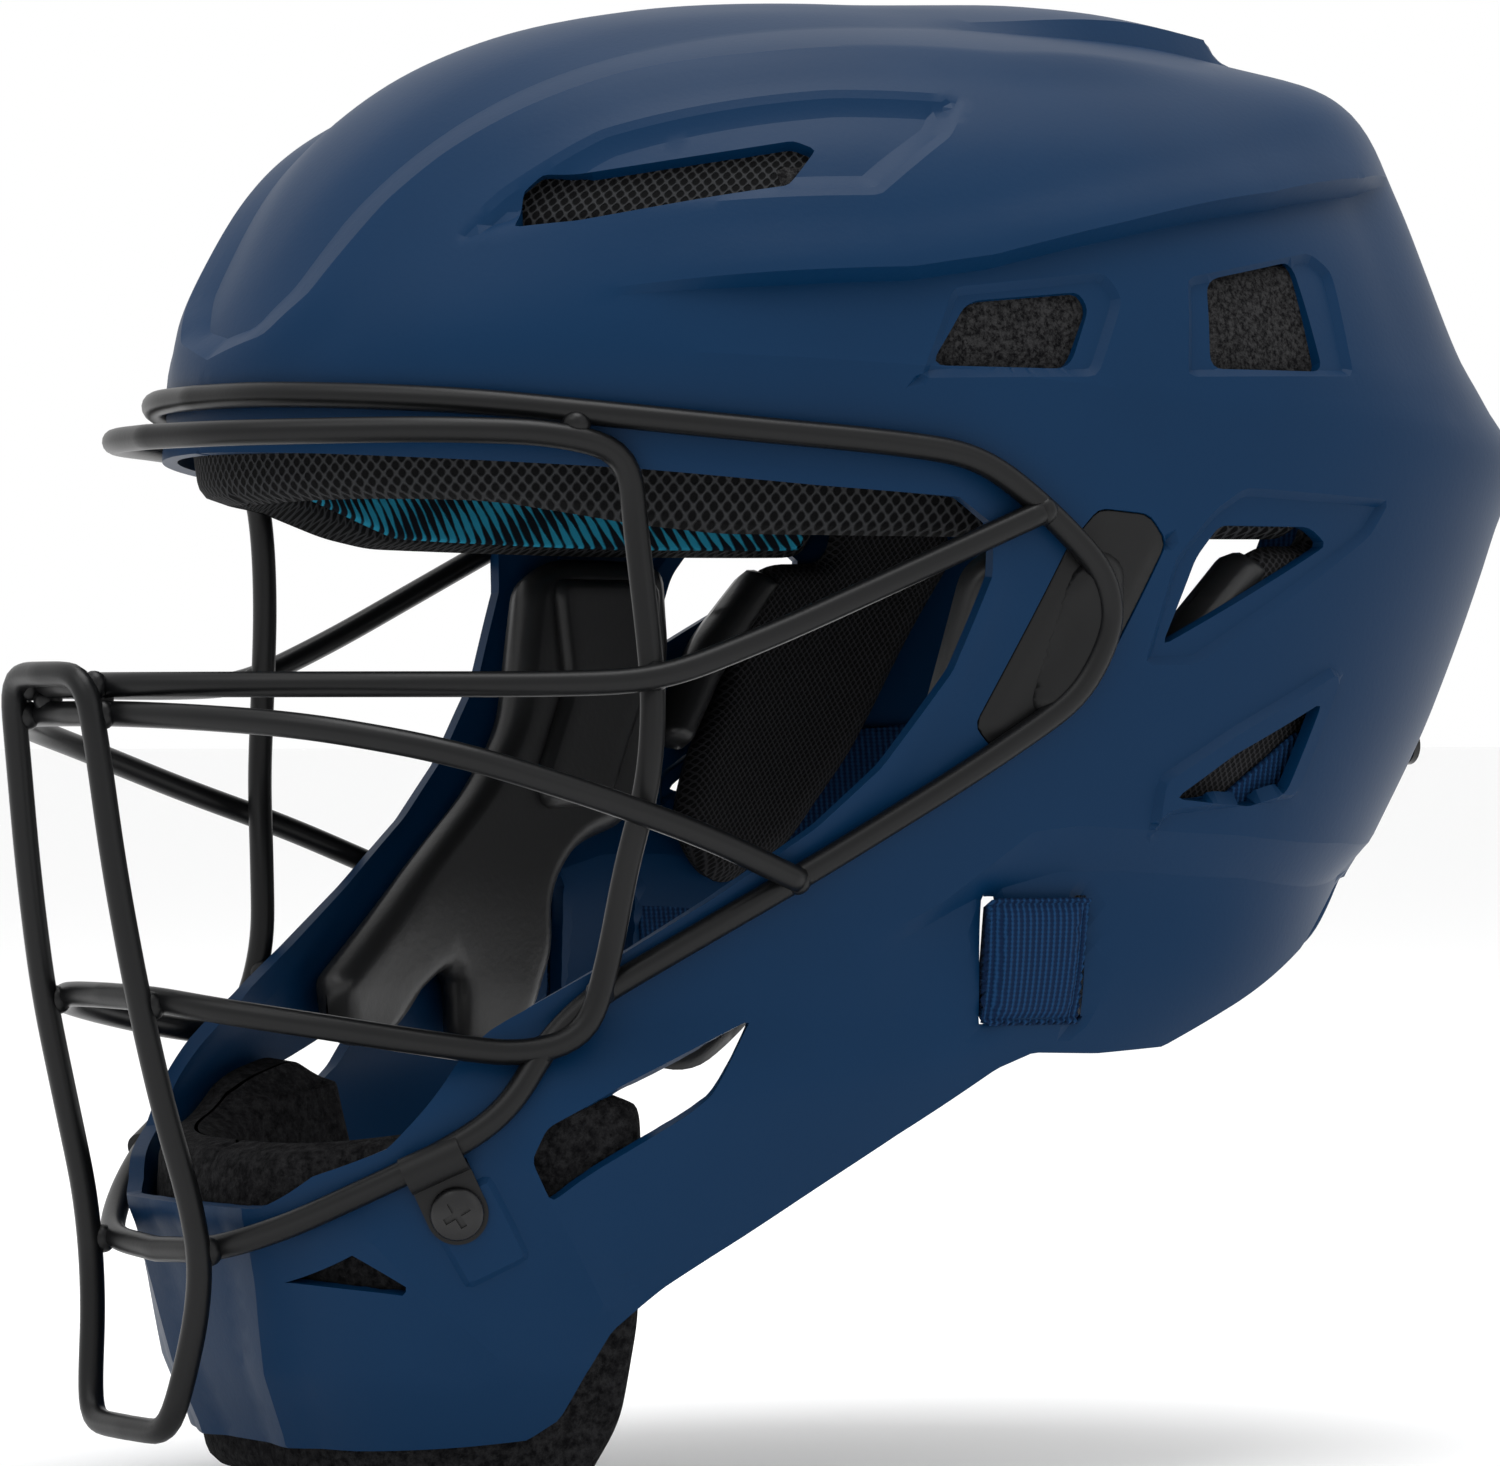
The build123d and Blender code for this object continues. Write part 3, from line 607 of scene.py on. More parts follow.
# ------------------------------------------------------------------------------------------------
# Outlines seen from the side (y, z), in outline millimetres
# ------------------------------------------------------------------------------------------------
FACE_PORT = [
    (-190, 205), (-133, 204.5), (-112, 203), (-76, 200.6), (-44, 197.5), (-17, 195.4),
    (-10, 190), (-10, 180), (-17, 161.6), (-29.7, 143.1), (-41.3, 131.5), (-60, 117.5),
    (-78, 105.3), (-91, 97.1), (-98.6, 91.8), (-104.7, 86.3), (-110.7, 78.6), (-117, 70.1),
    (-126.4, 64.6), (-131.6, 58), (-190, 55),
]
BELOW_HEM = [
    (-190, -20), (-190, 9), (-118, 10.5), (-90, 13), (-84, 17), (-80, 26), (-75, 34.5),
    (-65, 42.4), (-50, 52), (-21, 71.5), (-1, 84), (7, 87), (22, 86.5), (39, 87.4),
    (55, 94.5), (81, 105.6), (92, 113), (190, 170), (190, -20),
]
JAW_WINDOW = [
    (-52, 94.5), (-61.6, 80), (-66, 76.5), (-82, 66.3), (-90.5, 60), (-94.5, 68), (-92, 74.2), (-78.4, 82.1),
]
EAR_VENT = [(28.5, 166.5), (35.5, 184), (41, 190.5), (64, 190.5), (69, 187)]
LOWER_VENT = [(32.5, 137), (45.5, 145.5), (67.5, 156), (60, 138), (52.5, 135)]
FRONT_QUAD_VENT = [(-23.3, 220.5), (-14, 234), (11, 236.5), (12.5, 233), (6.5, 220.5)]
REAR_QUAD_VENT = [(39.5, 221.5), (42, 240), (67, 245), (69.5, 222)]
TOP_SLOT = [(-93.5, 247.0), (-90, 254.5), (-86, 257.8), (-41, 266), (-37.5, 264.2), (-46, 256), (-84, 248)]
CHIN_VENT = [(-128.6, 43.8), (-121.9, 49.6), (-113.6, 43.6), (-114, 42)]
TEMPLE_RECESS = [
    (12.7, 193.5), (24, 192.5), (28, 187), (13, 157.5), (3, 150.5), (-7, 146), (-11.5, 151), (6, 186),
]
STRAP_SLOTS = (-4.0, 16.0)
STRAP_MIDDLE, STRAP_HALF = 105.0, 12.5
SLOT_HALF, SLOT_LOW, SLOT_HIGH = 1.4, 92.8, 117.2
SIDE_CUTS = [
    (JAW_WINDOW, 1.5), (EAR_VENT, 2), (LOWER_VENT, 2), (FRONT_QUAD_VENT, 3.2), (REAR_QUAD_VENT, 3.2), (TOP_SLOT, 1.0),
]
OPENING_HALF_WIDTH, OPENING_TOP, OPENING_CORNER = 58.0, 212.0, 22.0

QUAD_POCKETS = [
    [(-26, 218), (-17, 236.5), (17, 240.5), (20, 235), (12, 219)],
    [(33, 219.5), (36.5, 240), (72, 246.8), (77.4, 243), (77, 221)],
]
SLOT_POCKET = [(48.1, -103.1, 242.5), (86.4, -29.3, 253.6), (82.0, -10.0, 266.0), (74.4, -0.5, 274.9),
               (68.1, -29.1, 275.3), (55.7, -74.0, 266.4), (50.0, -93.1, 254.4), (47.0, -101.0, 246.0),
               (48.1, -103.1, 242.5)]
HOOD_OUTER = [(0.0, -134.0, 223.8), (17.0, -125.9, 226.4), (25.0, -120.5, 234.1), (31.4, -107.2, 251.9),
              (36.3, -97.0, 261.3), (42.6, -81.4, 270.8), (48.2, -63.2, 277.7), (55.3, -40.0, 281.6),
              (60.3, -7.7, 284.2), (63.1, 14.3, 283.8), (60.2, 47.8, 284.5), (55.1, 80.1, 282.3),
              (50.0, 104.0, 277.0)]
STEP_BACK = 90.0                        # where the raised end of the hood panel stops, in y
HOOD_INNER = [(0.0, -131.1, 229.0), (10.0, -128.0, 230.0), (17.0, -121.4, 237.1), (21.5, -111.2, 251.1),
              (26.2, -101.9, 261.3), (33.4, -80.4, 275.7), (39.5, -56.3, 284.7), (42.3, -30.3, 289.0),
              (44.0, 0.0, 290.5)]
HOOD_INNER += [tuple(top_face(x, y)) for x, y in ((44, 30), (42, 55), (39, 76), (35, STEP_BACK + 2))]
RIDGE = [(66.6, -89.4, 233.4), (86.6, -47.8, 238.0), (92.7, -26.1, 239.2), (95.2, -9.2, 241.9),
         (95.3, 21.1, 249.1), (88.4, 61.9, 256.8), (74.0, 94.0, 261.5), (58.0, 114.0, 264.4)]
LOW_LINE = [(76, -77.5, 222.8), (88.8, -49.2, 221.7), (96.5, -19.9, 220.2), (101.8, 12, 217.2),
            (101.6, 40, 214.5), (97.5, 76.3, 213.0), (86.0, 106.0, 212.5)]
WING_UP = [(84.9, -28.4, 109.8), (88.5, -15.2, 116.5), (93.6, 2.6, 130.2), (95.2, 12.9, 131.3),
           (94.0, 50.0, 129.5), (85.0, 83.5, 127.1), (70.0, 104.0, 126.0)]
WING_LOW = [(84.8, -28.4, 106.7), (90.7, -4.6, 117.9), (93.5, 10.3, 121.7), (94.8, 25.3, 121.6),
            (93.4, 55.8, 119.7), (84.0, 80.0, 117.0), (70.0, 101.0, 117.5)]
VENT_LIP = [(28, 128), (32, 133.5), (64, 136.5), (74, 161.0), (71, 163), (46, 151), (29, 141)]
EAR_RECESS = [(24, 163), (30.0, 184), (39.0, 193.5), (46.5, 198.0), (86.0, 196.3), (80, 189), (36, 163)]
CLIP_FACET = [(-112.3, 58.1), (-104.0, 43.0), (-93.0, 49.1), (-101.6, 65.6)]
CHIN_LOW = [(-131, 26), (-104, 24), (-80, 27)]
CHIN_EDGE = [(18.0, -127.0, 10.0), (19.0, -128.0, 24.0), (22.0, -129.5, 44.0), (23.0, -131.5, 60.0)]
CHIN_FOLD = [(46.4, -118.4, 52.0), (51.0, -108.0, 41.0), (57.0, -96.9, 29.0)]
JAW_FOLD = [(64.2, -94.2, 65.6), (64.0, -86.0, 53.0), (62.7, -78.0, 40.0)]


def depth_below(points, line, up):
    """Distance to a line, positive below it and negative above it; up is the direction that counts as above."""
    best = np.full(len(points), 1e9)
    side = np.zeros(len(points))
    for a, b in zip(line[:-1], line[1:]):
        gap = gaps_to(points, a, b)
        reach = np.linalg.norm(gap, axis=1)
        nearer = reach < best
        best = np.where(nearer, reach, best)
        side = np.where(nearer, gap @ np.asarray(up, float), side)
    return np.where(side > 0, -best, best)


def pocket(points, outline, depth, ramp, reach=None):
    """A flat-bottomed recess inside a side-view outline with sloping walls."""
    line = side_line(outline, 1.5, 2.0)
    within = inside(points[:, 1:], np.array(outline, float)) & (points[:, 0] > 15)
    gap = distance_to(points, line)
    return np.where(within, -depth * np.clip(gap / ramp, 0, 1), 0.0)


def relief(points):
    """How far the finished shell stands above (or sinks below) the plain form, in millimetres."""
    y, z = points[:, 1], points[:, 2]
    rise = np.zeros(len(points))
    # central hood panel: a crisp outer crease, a band that falls inwards, and a shallow panel
    outer = depth_below(points, space_line(HOOD_OUTER, 3.0), (0.75, 0.05, -0.66))
    inner = depth_below(points, space_line(HOOD_INNER, 3.0), (0.75, 0.05, -0.66))
    front_of = ease((75 - y) / 45)
    across_band = np.clip(outer / np.maximum(outer - inner, 0.5), 0, 1)
    outside = outer <= 0
    crest = np.where(outside, 1.5 * ease(1 + outer / 12), 1.5 - 2.9 * across_band)
    panel = inner > 0
    crest = np.where(panel & ~outside, -1.4 + 0.5 * ease(inner / 16), crest)
    top_part = z > 205
    rise += np.where(top_part, crest * front_of, 0)
    # the panel ends in a step, and the dome's rear corner is fuller
    step = ease((y - 5) / 60) * np.clip((STEP_BACK - y) / 6, 0, 1) * np.clip(inner / 4, 0, 1)
    rise += np.where((inner > 0) & top_part, 4.2 * step, 0)
    rise += 4.5 * np.exp(-((y - 98) / 26) ** 2 - ((z - 275) / 10) ** 2)
    # ridge above the side vents, with a hollow under it that fades out at the low line
    ridge = depth_below(points, space_line(RIDGE, 3.0), (0.15, 0, 1))
    low = depth_below(points, space_line(LOW_LINE, 3.0), (0, 0, 1))
    fade = ease((y + 88) / 40) * ease((118 - y) / 25)
    under = np.clip(-low / np.maximum(ridge - low, 0.5), 0, 1)
    rise += np.where((ridge > 0) & (low < 0), -3.2 * under ** 0.7 * fade * np.clip(ridge / 1.6, 0, 1), 0)
    rise += np.where(ridge <= 0, 1.5 * fade * ease(1 + ridge / 12), 0)
    rise += np.where((ridge > 0) & (ridge < 1.6) & (low < 0), 1.5 * fade * (1 - ridge / 1.6), 0)
    # pockets
    for outline in QUAD_POCKETS:
        rise += pocket(points, outline, 1.3, 1.4)
    slot_line = space_line(SLOT_POCKET, 2.0)
    flat_slot = to_map(*places_of(slot_line))
    share, height = RELIEF_PLACES["share"], RELIEF_PLACES["height"]
    in_slot = inside(to_map(share, height), flat_slot)
    rise += np.where(in_slot, -2.2 * ease(distance_to(points, slot_line) / 6), 0)
    rise += pocket(points, EAR_RECESS, 1.4, 1.6)
    rise += pocket(points, TEMPLE_RECESS, 1.5, 0.35)
    # raised lip round the lower vent
    lip = side_line(VENT_LIP, 2.0, 2.0)
    in_lip = inside(points[:, 1:], np.array(VENT_LIP, float)) & (points[:, 0] > 15)
    rise += np.where(in_lip, 1.6 * np.clip(distance_to(points, lip) / 1.4, 0, 1), 0)
    # hollow band over the wing
    up = depth_below(points, space_line(WING_UP, 3.0), (0, 0, 1))
    down = depth_below(points, space_line(WING_LOW, 3.0), (0, 0, 1))
    fade = ease((y + 30) / 22)
    band = np.clip(up / np.maximum(up - down, 0.5), 0, 1)
    rise += np.where((up > 0) & (down < 0), -3.0 * band * fade, 0)
    rise += np.where(down >= 0, -3.0 * fade * ease(1 - down / 26), 0)
    # wide rounded lip round the face port
    port = distance_to(points, side_line(FACE_PORT, 2.0, 3.0))
    rise += 1.5 * ease(1 - port / 7.5)
    # chin: a raised facet round the clip, and a lower facet
    facet = side_line(CLIP_FACET, 1.5, 1.5)
    in_facet = inside(points[:, 1:], np.array(CLIP_FACET, float)) & (points[:, 0] > 15)
    rise += np.where(in_facet, 1.0 * np.clip(distance_to(points, facet) / 1.2, 0, 1), 0)
    chin = depth_below(points, side_line(CHIN_LOW, 2.0, 0, False), (0, 0, 1))
    rise += np.where((chin > 0) & (z < 40), -0.16 * np.minimum(chin, 14), 0)
    for line, height, reach in ((CHIN_EDGE, 1.6, 9.0), (CHIN_FOLD, 0.9, 6.0), (JAW_FOLD, 1.1, 7.0)):
        rise += height * np.clip(1 - distance_to(points, space_line(line, 2.0)) / reach, 0, 1)
    # seats of the two strap slots
    for slot_y in STRAP_SLOTS:
        near = ease(1 - np.abs(y - slot_y) / 3.5) * ease((13.5 - np.abs(z - 105)) / 2)
        rise += np.where(points[:, 0] > 40, -1.2 * near, 0)
    return rise


RELIEF_PLACES = {}


def shell_holes(points):
    """Which places are cut away from the shell."""
    side_view = points[:, 1:]
    gone = inside(side_view, np.array(FACE_PORT, float)) | inside(side_view, np.array(BELOW_HEM, float))
    for outline, corner in SIDE_CUTS:
        gone |= inside(side_view, rounded(outline, corner)) & (points[:, 0] > 15)
    gone |= inside(side_view, np.array(CHIN_VENT, float)) & (points[:, 0] > 8)
    for slot_y in STRAP_SLOTS:
        in_slot = np.abs(side_view[:, 0] - slot_y) < SLOT_HALF
        in_slot &= (side_view[:, 1] > SLOT_LOW) & (side_view[:, 1] < SLOT_HIGH)
        gone |= in_slot & (points[:, 0] > 30)
    x, z = np.abs(points[:, 0]), points[:, 2]
    corner_x = np.clip(x - (OPENING_HALF_WIDTH - OPENING_CORNER), 0, None)
    corner_z = np.clip(z - (OPENING_TOP - OPENING_CORNER), 0, None)
    behind = (points[:, 1] > 20) & (np.hypot(corner_x, corner_z) < OPENING_CORNER) & (x < OPENING_HALF_WIDTH)
    return gone | (behind & (z < OPENING_TOP))


def build_shell():
    bed = Bed()
    edges = []
    cut_lines = [side_line(FACE_PORT, 1.6), side_line(BELOW_HEM, 1.8)]
    for outline, corner in SIDE_CUTS + [(CHIN_VENT, 0)]:
        cut_lines.append(side_line(outline, 1.2, corner))
    for slot_y in STRAP_SLOTS:
        front, back = slot_y - SLOT_HALF, slot_y + SLOT_HALF
        cut_lines.append(side_line([(front, SLOT_LOW), (back, SLOT_LOW), (back, SLOT_HIGH), (front, SLOT_HIGH)], 1.2))
    turns = np.linspace(0, math.pi / 2, 12)
    rear = [(OPENING_HALF_WIDTH, z) for z in np.arange(60, OPENING_TOP - OPENING_CORNER, 2)]
    rear += [(OPENING_HALF_WIDTH - OPENING_CORNER + OPENING_CORNER * math.cos(t),
              OPENING_TOP - OPENING_CORNER + OPENING_CORNER * math.sin(t)) for t in turns]
    rear += [(x, OPENING_TOP) for x in np.arange(OPENING_HALF_WIDTH - OPENING_CORNER - 2, -0.1, -2)]
    cut_lines.append(resample([back_face(x, z) for x, z in rear], 1.8))
    for line in cut_lines:
        edges += bed.line(line, 0.3)
    sharp = [
        (space_line(HOOD_OUTER, 2.0), (1.5, 4)), (space_line(HOOD_INNER, 2.0), (1.5, 4)),
        (space_line(RIDGE, 2.0), (1.6, 3.5)), (space_line(LOW_LINE, 2.5), (2.5,)),
        (space_line(WING_UP, 2.0), (1.5,)), (space_line(WING_LOW, 2.0), (1.5,)),
        (space_line(CHIN_EDGE, 2.0), (4, 9)), (space_line(CHIN_FOLD, 2.0), (3, 6)),
        (space_line(JAW_FOLD, 2.0), (3.5, 7)),
        (space_line(SLOT_POCKET, 2.0), (2, 4, 6)), (side_line(CLIP_FACET, 1.5, 1.5), (1.2,)),
        (side_line(VENT_LIP, 1.8, 2.0), (1.4,)), (side_line(EAR_RECESS, 1.8, 2.0), (1.6,)),
        (side_line(TEMPLE_RECESS, 1.5, 2.0), (0.36,)), (side_line(CHIN_LOW, 2.0, 0, False), (2,)),
    ]
    for back in (STEP_BACK, STEP_BACK - 6):
        sharp.append((resample([top_face(x, back) for x in np.arange(0.0, 37.0, 2.0)], 2.0), (2.0,)))
    for outline in QUAD_POCKETS:
        sharp.append((side_line(outline, 1.8, 2.0), (1.6,)))
    for line, gaps in sharp:
        edges += bed.line(line, 0.3)
    for line, gaps in sharp:
        bed.beside(line, gaps, min(0.6, min(gaps) * 0.8))
    bed.beside(cut_lines[0], (1.5, 3.2, 5, 7.5), 0.9)
    bed.fill(3.0, 0.6)
    bed.add(face_point(np.array([0.0]), np.array([TOP - 0.05]))[0], 0.0, TOP - 0.05, 0.5)
    share, height, faces = bed.triangles(edges)
    centre_map = to_map(share, height)[faces].mean(1)
    centre_share, centre_height = from_map(centre_map)
    solid_faces = faces[~shell_holes(face_point(centre_share, centre_height))]
    share, height, faces = only_used(share, height, solid_faces)
    base = face_point(share, height)
    normals = face_normals(share, height)
    faces = facing_out(base, faces, normals)
    RELIEF_PLACES["share"], RELIEF_PLACES["height"] = share, height
    rise = relief(base)
    verts = base + normals * rise[:, None]
    verts[(share <= 0) | (share >= 1), 0] = 0
    metres, faces, uvs = mirror_left(to_metres(verts), faces, cloth_uv(share, height))
    obj = new_object("Shell", metres, faces, uvs)
    solid = obj.modifiers.new("wall", "SOLIDIFY")
    solid.thickness = settings().wall
    solid.offset = -1
    solid.use_even_offset = False
    rim = obj.modifiers.new("rim", "BEVEL")
    rim.width = RIM_ROUND
    rim.segments = 2
    rim.limit_method = "ANGLE"
    rim.angle_limit = math.radians(60)
    baked(obj)
    obj.data.shade_smooth()
    obj.data.set_sharp_from_angle(angle=math.radians(13))
    return obj


# ------------------------------------------------------------------------------------------------
# Materials
# ------------------------------------------------------------------------------------------------
class Term:
    """A shader value that can be worked with as a Python expression."""

    def __init__(self, tree, socket):
        self.tree, self.socket = tree, socket

    def node(self, kind, *inputs, output=0, **options):
        return add_node(self.tree, kind, *inputs, output=output, **options)

    def part(self, index):
        """Another output of the same node."""
        return Term(self.tree, self.socket.node.outputs[index])

    def math(self, operation, *others):
        return self.node("ShaderNodeMath", self, *others, operation=operation)

    def __add__(self, other):
        return self.math("ADD", other)

    def __sub__(self, other):
        return self.math("SUBTRACT", other)

    def __rsub__(self, other):
        return self.node("ShaderNodeMath", other, self, operation="SUBTRACT")

    def __mul__(self, other):
        return self.math("MULTIPLY", other)

    __radd__, __rmul__ = __add__, __mul__

    def sine(self):
        return self.math("SINE")

    def size(self):
        return self.math("ABSOLUTE")

    def between(self, low, high):
        """0 below low, 1 above high, and smooth between them."""
        return self.node("ShaderNodeMapRange", self, low, high, 0.0, 1.0, interpolation_type="SMOOTHSTEP")


def add_node(tree, kind, *inputs, output=0, **options):
    """Adds a shader node, sets it up and joins its inputs in order; None skips one."""
    node = tree.nodes.new(kind)
    for key, value in options.items():
        setattr(node, key, value)
    for index, value in enumerate(inputs):
        if value is None:
            continue
        if isinstance(value, Term):
            tree.links.new(value.socket, node.inputs[index])
        else:
            node.inputs[index].default_value = value
    return Term(tree, node.outputs[output])


def material(name, colour, roughness, specular, pattern=None):
    """A surface; pattern(tree, surface) may add relief or a second colour."""
    made = bpy.data.materials.new(name)
    made.use_nodes = True
    tree = made.node_tree
    surface = tree.nodes["Principled BSDF"]
    surface.inputs["Base Color"].default_value = (*colour, 1)
    surface.inputs["Roughness"].default_value = roughness
    surface.inputs["Specular IOR Level"].default_value = specular
    if pattern:
        pattern(tree, surface)
    return made


def object_place(tree):
    """Object coordinates."""
    return add_node(tree, "ShaderNodeTexCoord", output=3)


def cloth_axes(tree):
    """The two directions along a fabric, in millimetres."""
    place = add_node(tree, "ShaderNodeUVMap", uv_map="cloth")
    across = place.node("ShaderNodeSeparateXYZ", place)
    return across * (1 / MM), across.part(1) * (1 / MM)


def noise(tree, place, scale, detail=3.0, roughness=0.55):
    return add_node(tree, "ShaderNodeTexNoise", place, None, scale, detail, roughness)


def bump(tree, surface, height, distance):
    """Fine relief; distance is its depth in metres."""
    raised = add_node(tree, "ShaderNodeBump")
    node = raised.socket.node
    node.inputs["Strength"].default_value = 1.0
    node.inputs["Distance"].default_value = distance
    tree.links.new(height.socket, node.inputs["Height"])
    tree.links.new(raised.socket, surface.inputs["Normal"])


def tint(tree, surface, share, low, high):
    """Base colour between two colours by a share from 0 to 1."""
    skipped = [None] * 5
    mixed = add_node(tree, "ShaderNodeMix", share, *skipped, (*low, 1), (*high, 1), output=2, data_type="RGBA")
    tree.links.new(mixed.socket, surface.inputs["Base Color"])


def grained(amount, scale):
    """A fine moulded grain."""
    def pattern(tree, surface):
        bump(tree, surface, noise(tree, object_place(tree), scale, 2.0), amount)
    return pattern


SHELL_TINTS = (0.0004, 0.0185, 0.0560), (0.0006, 0.0205, 0.0615)


def satin_shell(tree, surface):
    """A satin moulding, very slightly uneven in tone."""
    place = object_place(tree)
    bump(tree, surface, noise(tree, place, 900.0, 2.0), 0.00003)
    clouds = noise(tree, place, 14.0, 3.0).between(0.3, 0.7)
    dark, light = SHELL_TINTS
    tint(tree, surface, clouds, dark, light)


def open_mesh(tree, surface):
    """Knitted mesh with small round holes in offset rows."""
    u, v = cloth_axes(tree)
    across, along = u * (math.pi / 2.9), v * (math.pi / 3.1)
    share = ((across + along).sine() * (across - along).sine()).size().between(0.08, 0.6)
    tint(tree, surface, share, (0.028, 0.029, 0.031), (0.0012, 0.0013, 0.0016))
    bump(tree, surface, share, -0.0005)


def fine_mesh(tree, surface):
    """A closer knitted mesh."""
    u, v = cloth_axes(tree)
    across, along = u * (math.pi / 1.7), v * (math.pi / 1.9)
    share = ((across + along).sine() * (across - along).sine()).size().between(0.1, 0.7)
    tint(tree, surface, share, (0.024, 0.024, 0.026), (0.004, 0.004, 0.0045))
    bump(tree, surface, share, -0.0003)


def terry_loops(tree, surface):
    """Short loops of terry cloth."""
    place = object_place(tree)
    loops = noise(tree, place, 520.0, 4.0, 0.7)
    tint(tree, surface, loops.between(0.3, 0.75), (0.0025, 0.0025, 0.003), (0.020, 0.020, 0.021))
    bump(tree, surface, loops, 0.0009)


def ribbed(low, high, pitch_mm, slant=0.45):
    """Woven webbing with fine slanted ribs."""
    def pattern(tree, surface):
        u, v = cloth_axes(tree)
        turns = 2.0 * math.pi / pitch_mm
        ribs = (u * turns + v * (turns * slant)).sine()
        cross = (v * (2.0 * math.pi / 0.9)).sine()
        share = (ribs * 0.75 + cross * 0.25).between(-0.8, 0.9)
        tint(tree, surface, share, low, high)
        bump(tree, surface, share, 0.00035)
    return pattern


def hatched(tree, surface):
    """A band of short slanted dashes in two blues over black mesh."""
    u, v = cloth_axes(tree)
    dashes = (u * 1.7 + v * 1.9).sine()
    rows = (u * 0.16 - v * 0.5).sine()
    weave = noise(tree, object_place(tree), 420.0, 2.0)
    share = (dashes * 0.6 + rows * 0.45 + weave * 0.4).between(0.0, 0.5)
    tint(tree, surface, share, (0.004, 0.006, 0.010), (0.02, 0.27, 0.42))
    bump(tree, surface, share, 0.0004)


def felt(tree, surface):
    """Rough tufts of hook tape."""
    place = object_place(tree)
    tufts = noise(tree, place, 900.0, 4.0, 0.75)
    tint(tree, surface, tufts.between(0.35, 0.68), (0.0015, 0.0015, 0.002), (0.030, 0.030, 0.031))
    bump(tree, surface, tufts, 0.0004)


# name, base colour, roughness, specular level, pattern
FINISHES = {
    "shell": ("Shell, navy", (0.0005, 0.0195, 0.058), 0.46, 0.11, satin_shell),
    "wire": ("Vinyl-coated wire", (0.0028, 0.0030, 0.0034), 0.36, 0.22, grained(0.00002, 1200.0)),
    "black_plastic": ("Black plastic", (0.0045, 0.0047, 0.005), 0.45, 0.2, grained(0.00003, 900.0)),
    "screw": ("Blackened screw", (0.004, 0.004, 0.0045), 0.32, 0.35),
    "open_mesh": ("Open mesh lining", (0.01, 0.01, 0.012), 0.85, 0.1, open_mesh),
    "fine_mesh": ("Fine mesh lining", (0.01, 0.01, 0.012), 0.8, 0.12, fine_mesh),
    "moulded": ("Moulded foam", (0.010, 0.0102, 0.0108), 0.38, 0.4, grained(0.00005, 700.0)),
    "terry": ("Terry cloth", (0.008, 0.008, 0.009), 0.95, 0.05, terry_loops),
    "webbing": ("Navy webbing", (0.006, 0.022, 0.06), 0.8, 0.1,
                ribbed((0.0015, 0.010, 0.036), (0.006, 0.034, 0.095), 1.6)),
    "strip": ("Hatched strip", (0.01, 0.08, 0.15), 0.8, 0.1, hatched),
    "hook": ("Hook patch", (0.006, 0.006, 0.007), 0.95, 0.1, felt),
}
MATERIALS = {}


def look(name):
    """The named material, made when it is first asked for."""
    if name not in MATERIALS:
        MATERIALS[name] = material(*FINISHES[name])
    return MATERIALS[name]


# ------------------------------------------------------------------------------------------------
# Cage
# ------------------------------------------------------------------------------------------------
WIRE = 2.5                              # radius with the vinyl coat
STAND = WIRE + 0.3                      # from the shell's face to a wire's middle
BEAD_DEPTH, BEAD_WIDTH = 2.6, 2.9


def stood_off(y, z, out):
    """A point out from the left face at a side-view place."""
    point = left_face(y, z)
    share, height = places_of(point[None])
    return point + face_normals(share, height)[0] * out


def wire_line(points):
    """A wire's route with every bend rounded, from the middle plane round the left."""
    corners = [np.array(p, float) for p in points]
    line = [corners[0]]
    for before, here, after in zip(corners[:-2], corners[1:-1], corners[2:]):
        back, on = before - here, after - here
        room = 0.45 * min(np.linalg.norm(back), np.linalg.norm(on))
        a = here + back / np.linalg.norm(back) * room
        b = here + on / np.linalg.norm(on) * room
        for t in np.linspace(0, 1, 7):
            line.append((1 - t) ** 2 * a + 2 * t * (1 - t) * here + t * t * b)
    line.append(corners[-1])
    line = resample(np.array(line), 2.2)
    for _ in range(3):
        line[1:-1] = line[1:-1] * 0.5 + (line[:-2] + line[2:]) * 0.25
    return line


def tube(line, radius, closed=False, sides=16):
    """Vertices and faces of a round tube along a line, with domed ends."""
    line = np.asarray(line, float)
    count = len(line)
    tangents = np.gradient(line, axis=0)
    if closed:
        tangents = np.roll(line, -1, 0) - np.roll(line, 1, 0)
    tangents /= np.linalg.norm(tangents, axis=1, keepdims=True)
    normal = np.cross(tangents[0], (0.3, 0.5, 0.8))
    normal /= np.linalg.norm(normal)
    verts, faces = [], []
    for i in range(count):
        normal = normal - tangents[i] * (normal @ tangents[i])
        normal /= np.linalg.norm(normal)
        other = np.cross(tangents[i], normal)
        for k in range(sides):
            turn = 2 * math.pi * k / sides
            verts.append(line[i] + radius * (math.cos(turn) * normal + math.sin(turn) * other))
    for i in range(count - 1 + int(closed)):
        a, b = i * sides, ((i + 1) % count) * sides
        for k in range(sides):
            n = (k + 1) % sides
            faces.append((a + k, a + n, b + n, b + k))
    if not closed:
        for start, centre, out in ((0, line[0], -tangents[0]), ((count - 1) * sides, line[-1], tangents[-1])):
            tip = len(verts)
            verts.append(centre + out * radius * 0.45)
            for k in range(sides):
                n = (k + 1) % sides
                faces.append((start + n, start + k, tip) if start == 0 else (start + k, start + n, tip))
    return verts, faces


def both_sides(line):
    """A left-hand line that starts on the middle plane, carried on to the right."""
    other = line[::-1][:-1] * [-1, 1, 1]
    return np.vstack([other, line])


